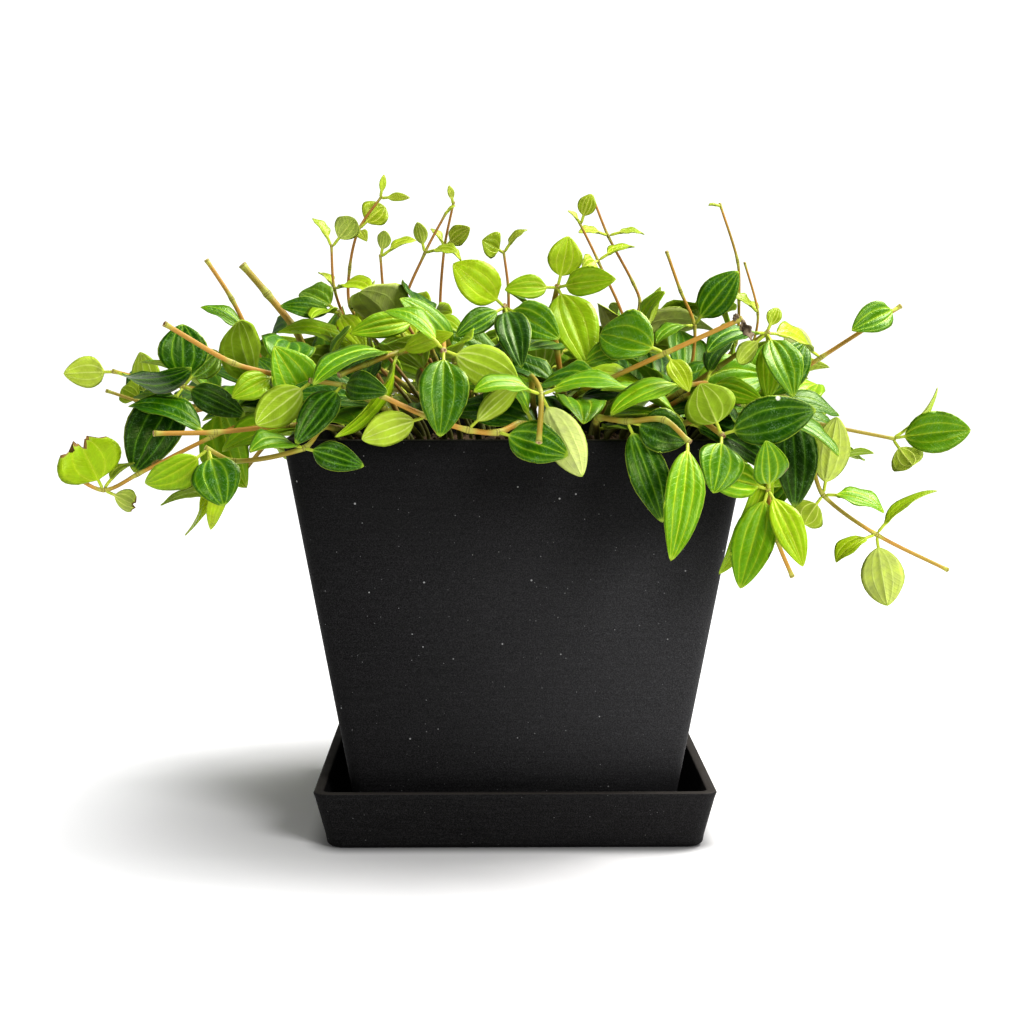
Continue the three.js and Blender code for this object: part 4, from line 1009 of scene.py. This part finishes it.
# A leaf as one closed skin: rings from its root on the stem to its tip. With b along the blade and u
# across it, a ring lies at half(b)*u sideways; the blade bows up by bow*length*4t(1-t), its edges
# lift by cup*half*|u|^1.2, it bulges between the veins and its margin ripples along b.
def leafShell(leaf):
    form = leaf.get("form", leafForm)
    reach = leaf["tip"] - leaf["base"]
    length = np.linalg.norm(reach)
    side = unit(np.cross(reach, leaf["face"]))
    stalk = stalkShare(length)
    right = np.array(form["columns"] if leaf["width"] > form["wide"] else form["fewColumns"])
    over = np.concatenate([-right[:0:-1], right])
    u = np.concatenate([over, over[-2:0:-1]])[None, :]
    upper = (np.arange(u.shape[1]) < len(over))[None, :]
    b = np.concatenate([np.zeros(len(form["stalkRows"])), form["rows"]])[:, None]
    t = np.concatenate([stalk * np.array(form["stalkRows"]), stalk + (1 - stalk) * np.array(form["rows"])])
    t = t[:, None]
    end = np.clip((b - form["tipFrom"]) / (1 - form["tipFrom"]), 0, 1)
    sharp = bladeShape(b) * (1 - form["tipSharp"] * end)
    half = np.sqrt((leaf["width"] / 2 * sharp) ** 2 + (form["stalkRadius"] * (1 - b) ** 3) ** 2)
    blade = np.clip(b / form["bladeFrom"], 0, 1)
    # frame along the leaf, twisting slowly
    lift = leaf["face"] * growth["bow"] * length * 4
    up = np.cross(side, reach + lift * (1 - 2 * t))
    up = up / np.linalg.norm(up, axis=1)[:, None]
    twist = math.radians(form["twist"]) * vary.uniform(-1, 1) * (b - 0.1) * blade
    sideways = side * np.cos(twist) + up * np.sin(twist)
    upward = up * np.cos(twist) - side * np.sin(twist)
    # height of the skin over the leaf's middle surface
    thick = form["stalkRadius"] * (1 - blade) + form["rib"] * (1 - form["ribLess"] * b) * blade
    power = form["blunt"][0] + form["blunt"][1] * blade
    body = thick * np.sqrt(np.maximum(0, 1 - np.abs(u) ** power)) * np.where(upper, 1.0, -1.0)
    body = body * (1 - (1 - form["edgeThin"]) * np.abs(u) * blade)
    keel = np.exp(-((u * half) / form["keelWide"]) ** 2) * blade * (1 - b)
    body = body - np.where(upper, *form["keel"]) * keel
    ribs = np.interp(np.abs(u), (*veins["places"], 1.0, 1.1), (0, 1, 2, 2, 2))
    full = np.clip(half / form["fullFrom"], 0, 1)
    swell = np.sin(np.pi * ribs) ** 2 * form["bulge"] * full * blade
    cup = growth["cup"] * vary.uniform(*form["cupping"]) * half * np.abs(u) ** 1.2 * blade
    waves = vary.uniform(*form["waves"], 2)
    starts = vary.uniform(0, 2 * np.pi, 2)
    leftWave, rightWave = (np.sin(2 * np.pi * wave * b + start) for wave, start in zip(waves, starts))
    ripple = np.where(u < 0, leftWave, rightWave) * form["ripple"] * full * np.abs(u) ** 2.5 * blade
    droop = -vary.uniform(*form["drooping"]) * form["droop"] * length * end**2
    height = body + swell + cup + ripple + droop
    # rows by columns of points
    middle = leaf["base"] + reach * t + lift * (t * (1 - t))
    grid = middle[:, None, :] + sideways[:, None, :] * (half * u)[:, :, None]
    grid = grid + upward[:, None, :] * height[:, :, None]
    rows, count = grid.shape[:2]
    tip = leaf["tip"] + upward[-1] * float(droop[-1, 0])
    bite = leaf.get("bite", 0)
    if bite:
        # a bitten end: columns stop short by bite*(0.75 + 0.35 sin(7u + 1) + 0.2 sin(16u)) of the length
        short = bite * (0.75 + 0.35 * np.sin(7 * u + 1) + 0.2 * np.sin(16 * u))
        index = np.interp(t * (1 - short * t**2), t[:, 0], np.arange(rows))
        low = np.minimum(index.astype(int), rows - 2)
        part, column = (index - low)[..., None], np.arange(count)[None]
        grid = grid[low, column] * (1 - part) + grid[low + 1, column] * part
        tip = grid[-3, np.abs(u[0]) < 0.01].mean(axis=0)
    points = np.concatenate([leaf["base"][None], grid.reshape(-1, 3), tip[None]])
    last = len(points) - 1
    ends = np.concatenate([fanFaces(1, count, 0, True), fanFaces(last - count, count, last, False)])
    below = (np.arange(count) >= len(over) - 1).astype(int)
    alongLeaf = (t - stalk) / (1 - stalk) + (form["bittenOn"] if bite else 0)
    place = np.stack(np.broadcast_arrays(u, alongLeaf, half), -1).reshape(-1, 3)
    place = np.concatenate([[[0, -stalk, 0.5]], place, [[0, 1, 0.1]]])
    kind = np.tile([leaf["age"], leaf["shade"], length], (len(points), 1))
    fields = dict(stemKind=np.zeros((len(points), 3)), leafPlace=place, leafKind=kind)
    return points, ringFaces(rows, count, 1), ends, np.tile(below, rows - 1), np.tile(below, 2), fields


stemForm = dict(
    sides=12, step=1.9, leastSteps=3, slim=0.87, angled=0.07, swell=0.30, swellOver=1.7, bend=0.85,
    rim=0.72, rimOut=0.25, cutIn=0.35,
)
# Stems that look slender, by number: share of the usual girth
thinStems = {
    1: 0.8, 2: 0.65, 4: 0.8, 5: 0.9, 6: 0.85, 19: 0.6, 20: 0.85, 21: 0.75, 24: 0.85, 25: 0.75, 26: 0.8,
    27: 0.85,
}


# A stem as a ring of twelve points carried along a cubic through its centre points. The radius
# falls evenly to its end, swells by swell*exp(-(d/swellOver)^2) at each node and is four-angled.
def stemShell(stem):
    form = stemForm
    points = stem["points"]
    ahead = points[1:] - points[:-1]
    slopes = np.concatenate([ahead[:1], points[2:] - points[:-2], ahead[-1:]])
    slopes = slopes / np.linalg.norm(slopes, axis=1)[:, None]
    line, index = [], []
    for i, length in enumerate(np.linalg.norm(ahead, axis=1)):
        count = max(form["leastSteps"], int(length / form["step"]))
        s = np.linspace(0, 1, count, endpoint=False)[:, None]
        pull = length * form["bend"]
        line.append((2 * s**3 - 3 * s**2 + 1) * points[i] + (3 * s**2 - 2 * s**3) * points[i + 1]
                    + (s**3 - 2 * s**2 + s) * pull * slopes[i] + (s**3 - s**2) * pull * slopes[i + 1])
        index.append(i + s[:, 0])
    line = np.concatenate([*line, points[-1:]])
    index = np.concatenate([*index, [len(points) - 1.0]])
    walked = np.concatenate([[0], np.cumsum(np.linalg.norm(np.diff(line, axis=0), axis=1))])
    nodes = np.interp(np.arange(len(points)), index, walked)[2:]
    away = np.abs(walked[:, None] - nodes[None, :]).min(axis=1)
    thin = form["slim"] * thinStems.get(stem["number"], 1)
    radius = thin * (stem["girth"] + (stem["endGirth"] - stem["girth"]) * index / index[-1])
    radius = radius * (1 + form["swell"] * np.exp(-((away / form["swellOver"]) ** 2)))
    along = np.gradient(line, axis=0)
    along = along / np.linalg.norm(along, axis=1)[:, None]
    sides = np.empty_like(line)
    side = np.array([1.0, 0, 0])
    for i, way in enumerate(along):
        side = unit(side - way * side.dot(way))
        sides[i] = side
    others = np.cross(along, sides)
    angle = np.linspace(0, 2 * np.pi, form["sides"], endpoint=False)
    reach = radius[:, None] * (1 + form["angled"] * np.cos(4 * angle))[None, :]
    grid = line[:, None] + sides[:, None] * (reach * np.cos(angle))[..., None]
    grid = grid + others[:, None] * (reach * np.sin(angle))[..., None]
    # the cut end is a little hollow
    rim = line[-1] + (grid[-1] - line[-1]) * form["rim"] + along[-1] * form["rimOut"]
    core = line[-1] + along[-1] * (form["rimOut"] - form["cutIn"])
    points, quads, ends = closedShell(np.concatenate([grid, rim[None]]), np.stack([line[0], core]))
    marks = np.full(len(quads), 2)
    marks[-form["sides"]:] = 3
    young = 0.9 if stem["girth"] < 1 else 0.35 if stem["girth"] < 1.2 else 0.0
    kind = np.stack([away, np.full(len(away), young), walked / walked[-1]], -1)
    kind = np.repeat(np.concatenate([kind, kind[-1:]]), form["sides"], axis=0)
    redness = np.tile([stem["number"] * 0.618 % 1, 0, 0], (len(points), 1))
    kind = np.concatenate([kind, kind[:1], kind[-1:]])
    fields = dict(stemKind=kind, leafPlace=np.zeros((len(points), 3)), leafKind=redness)
    return points, quads, ends, marks, np.repeat([2, 3], form["sides"]), fields


# Ages of the listed leaves that the photograph shows plainly, in tenths from youngest to oldest, by stem
shownAges = {
    1: (10, 9, 10, 3, 9, 9), 2: (5, 4), 4: (3, 2, 4, 8), 5: (10, 6, 7, 4, 3, 2), 6: (7,), 7: (8,),
    8: (7, 4), 9: (4, 3, 6), 10: (10, 5, 9), 11: (8, 4, 4), 12: (7, 5, 6), 13: (3, 7, 8, 10),
    14: (2, 4, 4, 3), 15: (1, 6, 5), 16: (5, 5, 8), 17: (6, 2), 18: (7, 4, 3, 2, 2, 8),
    19: (8, 6), 20: (3, 2), 21: (2,), 22: (9, 6, 7), 23: (9, 9, 8, 5), 24: (5, 6, 5, 3, 4),
    25: (10, 2, 6, 4, 3, 2, 3), 26: (6, 2, 3), 27: (7, 1), 36: (4, 4), 37: (8, 7, 3, 4),
    38: (5, 4, 8),
}
bittenLeaves = {(4, 0): 0.2, (4, 1): 0.16}  # by stem and place in its list: share of the blade that is gone
# Ages of the others. Along is the mean at the stem's foot, and what it falls to its end.
otherAges = dict(
    shoot=(0.05, 0.3), listed=(0.4, 0.9), wander=0.05, along=(0.86, 0.3), scatter=0.16, least=0.15,
)
leafShades = (0.86, 1.12)  # range of lightness


def leafAge(stem, leaf):
    if stem["girth"] < 1:
        return vary.uniform(*otherAges["shoot"])
    if leaf["listed"] is not None:
        given = shownAges.get(stem["number"], ())
        wander = vary.uniform(-otherAges["wander"], otherAges["wander"])
        if leaf["listed"] < len(given):
            return given[leaf["listed"]] / 10 + wander
        return vary.uniform(*otherAges["listed"])
    mean, fall = otherAges["along"]
    outer = leaf["at"] / (len(stem["points"]) - 1)
    return float(np.clip(vary.normal(mean - fall * outer, otherAges["scatter"]), otherAges["least"], 1.0))


def makeLeafyStem(stem):
    shells = [stemShell(stem)]
    for leaf in stem["grown"]:
        leaf["age"] = leafAge(stem, leaf)
        leaf["shade"] = vary.uniform(*leafShades)
        leaf["bite"] = bittenLeaves.get((stem["number"], leaf["listed"]), 0)
        shells.append(leafShell(leaf))
    marks = np.concatenate([shell[3] for shell in shells] + [shell[4] for shell in shells])
    fields = {label: np.concatenate([shell[5][label] for shell in shells]) for label in shells[0][5]}
    piece = makePiece("fine_" + stem["name"], *joined(shells), [leafTop, leafUnder, stemSkin, cutEnd],
                      marks, fields, "foliage", (stem["name"],))
    return sum(len(face.vertices) - 2 for face in piece.data.polygons)


# Crumpled dry leaves left at the end of a stem: stem's number, reach and width
scraps = [(17, (3.2, -1.5, -8.5), 4.2), (17, (-3.6, -1.2, 0.6), 3.2), (17, (0.6, -1.6, -6.0), 3.0)]
scrapForm = dict(leafForm, twist=75.0, ripple=5.0, bulge=0.9, droop=0.3)
scrapAside = (0.4, 0.2, 1.0)  # a scrap faces at right angles to this and to its reach


def makeScraps():
    shells = []
    for number, reach, width in scraps:
        base = plant[number - 1]["points"][-1]
        face = unit(np.cross(reach, scrapAside))
        leaf = dict(base=base, tip=base + reach, face=face, width=width, age=1.0, shade=1.0, form=scrapForm)
        shells.append(leafShell(leaf))
    makePiece("dried_scraps", *joined(shells), [driedLeaf], slot="foliage")


triangles = [makeLeafyStem(stem) for stem in plant]
makeScraps()
print("foliage made:", sum(triangles), "triangles, at most", max(triangles), "on a stem")


# Pot, saucer and soil

# Rings of a square with round corners, from rows of (half width, corner radius, height)
def squareRings(rows, cornerSteps=10, edgeSteps=6):
    half, corner, z = (np.array(column, float)[:, None] for column in zip(*rows))
    turn = np.linspace(0, np.pi / 2, cornerSteps + 1)
    edge = np.linspace(0, 1, edgeSteps + 1)[1:-1]
    # round corner, then the straight from (half - corner, half) to (-(half - corner), half)
    x = np.hstack([half - corner + corner * np.cos(turn), (half - corner) * (1 - 2 * edge)])
    y = np.hstack([half - corner + corner * np.sin(turn), np.repeat(half, len(edge), axis=1)])
    z = np.repeat(z, x.shape[1], axis=1)
    ways = ((1, 0), (0, 1), (-1, 0), (0, -1))
    return np.concatenate([np.stack([c * x - s * y, s * x + c * y, z], -1) for c, s in ways], axis=1)


# A quarter round from one way to another about a centre, as (half width, height) pairs
def quarter(half, z, radius, start, stop, count=4):
    angle = np.radians(np.linspace(start, stop, count))
    return [(half + radius * math.cos(a), z + radius * math.sin(a)) for a in angle]


# A vessel from the outlines of its outside and inside, whose corners are tighter
def makeVessel(name, outer, inner, corner, innerCorner, finish, slot, stands):
    rows = [(half, corner, z) for half, z in outer] + [(half, innerCorner, z) for half, z in inner]
    return makePiece(name, *closedShell(squareRings(rows)), [finish], slot=slot, stands=stands)


def makePot():
    bottom, rim, wall = pot["bottom"], pot["rim"] / 2, pot["wall"]
    edge, lip, fillet = pot["edge"], pot["lip"], pot["fillet"]
    floorZ = bottom + pot["floor"]
    inside = [rimZ - drop for drop in pot["innerDrops"]] + [bottom + rise for rise in pot["innerRises"]]
    outer = quarter(pot["foot"] / 2 - edge, bottom + edge, edge, -90, -8)
    outer += [(potHalfAt(bottom + rise), bottom + rise) for rise in pot["outerRises"]]
    outer += quarter(rim - lip, rimZ - lip, lip, 8, 90)
    inner = quarter(rim - wall + lip, rimZ - lip, lip, 90, 172)
    inner += [(potHalfAt(z) - wall, z) for z in inside]
    inner += quarter(potHalfAt(floorZ) - wall - fillet, floorZ + fillet, fillet, 0, -90)
    innerCorner = pot["corner"] - wall * pot["cornerLess"]
    shell = makeVessel("fine_pot", outer, inner, pot["corner"], innerCorner, potPlastic,
                       slot="pot_plastic", stands=("pot",))
    drill(shell, z=bottom + pot["floor"] / 2, depth=pot["floor"] * 3, **pot["holes"])


# Drainage holes: round cutters taken out of the base, then the cutters are thrown away
def drill(shell, radius, spread, z, depth):
    turn = np.linspace(0, 2 * np.pi, 32, endpoint=False)
    circle = radius * np.stack([np.cos(turn), np.sin(turn), 0 * turn], -1)
    ways = ((0, 0), (1, 1), (1, -1), (-1, 1), (-1, -1))
    heights = (z - depth / 2, z + depth / 2)
    drills = [[circle + [sx * spread, sy * spread, height] for height in heights] for sx, sy in ways]
    cutter = makePiece("cutter", *joined([closedShell(np.stack(rings)) for rings in drills]), [])
    cut = shell.modifiers.new("holes", "BOOLEAN")
    cut.object = cutter
    cut.operation = "DIFFERENCE"
    cut.solver = "EXACT"
    done = bpy.data.meshes.new_from_object(shell.evaluated_get(bpy.context.evaluated_depsgraph_get()))
    shell.modifiers.clear()
    shell.data = done
    bpy.data.objects.remove(cutter)


saucer = dict(
    top=158.0, foot=147.0, height=23.0, wall=4.2, floor=4.0, corner=6.0, innerCorner=3.6,
    edge=2.6, edgeIn=0.7, lip=0.9, fillet=2.5, outerRises=(4.5, 9, 15, 20), innerRises=(18, 12, 8),
)


def makeSaucer():
    foot, top, height, wall = saucer["foot"] / 2, saucer["top"] / 2, saucer["height"], saucer["wall"]
    edge, lip, fillet = saucer["edge"], saucer["lip"], saucer["fillet"]
    slope = (top - foot) / height
    outer = quarter(foot - edge * saucer["edgeIn"], edge, edge, -90, -14, 6)
    outer += [(foot + slope * z, z) for z in saucer["outerRises"]]
    outer += quarter(top - lip, height - lip, lip, 10, 90)
    inner = quarter(top - wall + lip, height - lip, lip, 90, 170)
    inner += [(foot + slope * z - wall, z) for z in saucer["innerRises"]]
    inner += quarter(foot - wall - fillet, saucer["floor"] + fillet, fillet, 0, -90)
    makeVessel("fine_saucer", outer, inner, saucer["corner"], saucer["innerCorner"], saucerPlastic,
               slot="saucer_plastic", stands=("saucer",))


bed = dict(
    cells=110, cornerLess=2.6, calmOver=14, edgeDrop=0.6, floorGap=0.3,
    relief=0.75, reliefGain=1.8, waves=46, shortest=3.5, longest=30, roughness=0.45,
    crumbs=620, fromWall=4, smallest=0.5, largest=2.1, smallShare=2.5, squash=(0.6, 1.3), dents=(0.82, 1.15),
    raised=0.25,
)
waveWays = vary.uniform(0, 2 * np.pi, bed["waves"])
waveStarts = vary.uniform(0, 2 * np.pi, bed["waves"])
waveLengths = np.exp(vary.uniform(math.log(bed["shortest"]), math.log(bed["longest"]), bed["waves"]))


# Height of the loose surface: relief*gain/sqrt(waves) times the sum over waves of
# (length/longest)^roughness * sin(2 pi (x cos(way) + y sin(way))/length + start)
def reliefAt(x, y):
    total = np.zeros(np.shape(x))
    for way, start, length in zip(waveWays, waveStarts, waveLengths):
        phase = 2 * np.pi * (x * math.cos(way) + y * math.sin(way)) / length + start
        total += np.sin(phase) * (length / bed["longest"]) ** bed["roughness"]
    return bed["relief"] * total / math.sqrt(bed["waves"]) * bed["reliefGain"]


# The soil's top: a square grid pulled into the pot's round corners, raised by a sum of sine waves
def makeSoil():
    half = potHalfAt(soilEdgeZ) - pot["wall"] - soil["clearance"]
    flat = half - (pot["corner"] - bed["cornerLess"])
    count = bed["cells"]
    a, c = np.meshgrid(np.linspace(-1, 1, count), np.linspace(-1, 1, count), indexing="ij")
    x, y = a * half, c * half
    inX, inY = np.maximum(np.abs(x) - flat, 0), np.maximum(np.abs(y) - flat, 0)
    both = (inX > 0) & (inY > 0)
    pull = np.where(both, np.maximum(inX, inY) / np.maximum(1e-9, np.hypot(inX, inY)), 1)
    x = np.where(both, np.sign(x) * (flat + inX * pull), x)
    y = np.where(both, np.sign(y) * (flat + inY * pull), y)
    calm = np.minimum(1, (1 - np.maximum(np.abs(a), np.abs(c))) * bed["calmOver"])
    z = soilTopAt(x, y) + reliefAt(x, y) * calm - bed["edgeDrop"] * (1 - calm)
    top = np.stack([x, y, z], -1).reshape(-1, 3)
    number = np.arange(count * count).reshape(count, count)
    faces = np.stack([number[:-1, :-1], number[1:, :-1], number[1:, 1:], number[:-1, 1:]], -1).reshape(-1, 4)
    border = np.concatenate([number[:-1, 0], number[-1, :-1], number[:0:-1, -1], number[0, :0:-1]])
    floorZ = pot["bottom"] + pot["floor"] + bed["floorGap"]
    low = top[border].copy()
    low[:, :2] *= (potHalfAt(floorZ) - pot["wall"] - soil["clearance"]) / half
    low[:, 2] = floorZ
    start = len(top)
    ring = np.arange(len(border))
    after = (ring + 1) % len(border)
    walls = np.stack([start + ring, start + after, border[after], border], -1)
    base = np.stack([np.full(len(ring), start + len(ring)), start + after, start + ring], -1)
    points = np.concatenate([top, low, [[0, 0, floorZ]]])
    makePiece("fine_soil", points, np.concatenate([faces, walls]), base, [looseMix],
              slot="potting_mix", stands=("soil",))


# Crumbs of the mix: twenty-sided lumps, squashed and turned, half sunk in the top
def makeCrumbs():
    golden = (1 + 5**0.5) / 2
    shape = [np.roll((one, long * golden, 0), k) for k in range(3) for long in (1, -1) for one in (-1, 1)]
    shape = np.array(shape) / math.hypot(1, golden)
    faces = np.array([
        (0, 11, 5), (0, 5, 1), (0, 1, 7), (0, 7, 10), (0, 10, 11), (1, 5, 9), (5, 11, 4), (11, 10, 2),
        (10, 7, 6), (7, 1, 8), (3, 9, 4), (3, 4, 2), (3, 2, 6), (3, 6, 8), (3, 8, 9), (4, 9, 5), (2, 4, 11),
        (6, 2, 10), (8, 6, 7), (9, 8, 1),
    ])
    count = bed["crumbs"]
    half = potHalfAt(soilEdgeZ) - pot["wall"] - bed["fromWall"]
    x, y = vary.uniform(-half, half, (2, count))
    share = vary.uniform(0, 1, count) ** bed["smallShare"]
    size = bed["smallest"] + (bed["largest"] - bed["smallest"]) * share
    squash = vary.uniform(*bed["squash"], (count, 1, 3))
    dents = vary.uniform(*bed["dents"], (count, 12, 1))
    own = shape[None] * squash * dents * size[:, None, None]
    turn = vary.uniform(0, 2 * np.pi, count)[:, None]
    turned = np.stack([own[..., 0] * np.cos(turn) - own[..., 1] * np.sin(turn),
                       own[..., 0] * np.sin(turn) + own[..., 1] * np.cos(turn), own[..., 2]], -1)
    z = soilTopAt(x, y) + reliefAt(x, y) + size * bed["raised"]
    points = turned + np.stack([x, y, z], -1)[:, None, :]
    triangles = faces[None] + 12 * np.arange(count)[:, None, None]
    makePiece("soil_crumbs", points.reshape(-1, 3), [], triangles, [looseMix],
              slot="potting_mix", smooth=False)


makePot()
makeSaucer()
makeSoil()
makeCrumbs()
print("pot, saucer and soil made")


# Ground

groundCorners = [(-6000, -6000, 0), (6000, -6000, 0), (6000, 12000, 0), (-6000, 12000, 0)]
ground = makePiece("ground", np.array(groundCorners), [(0, 1, 2, 3)], [], [paleGround], smooth=False)
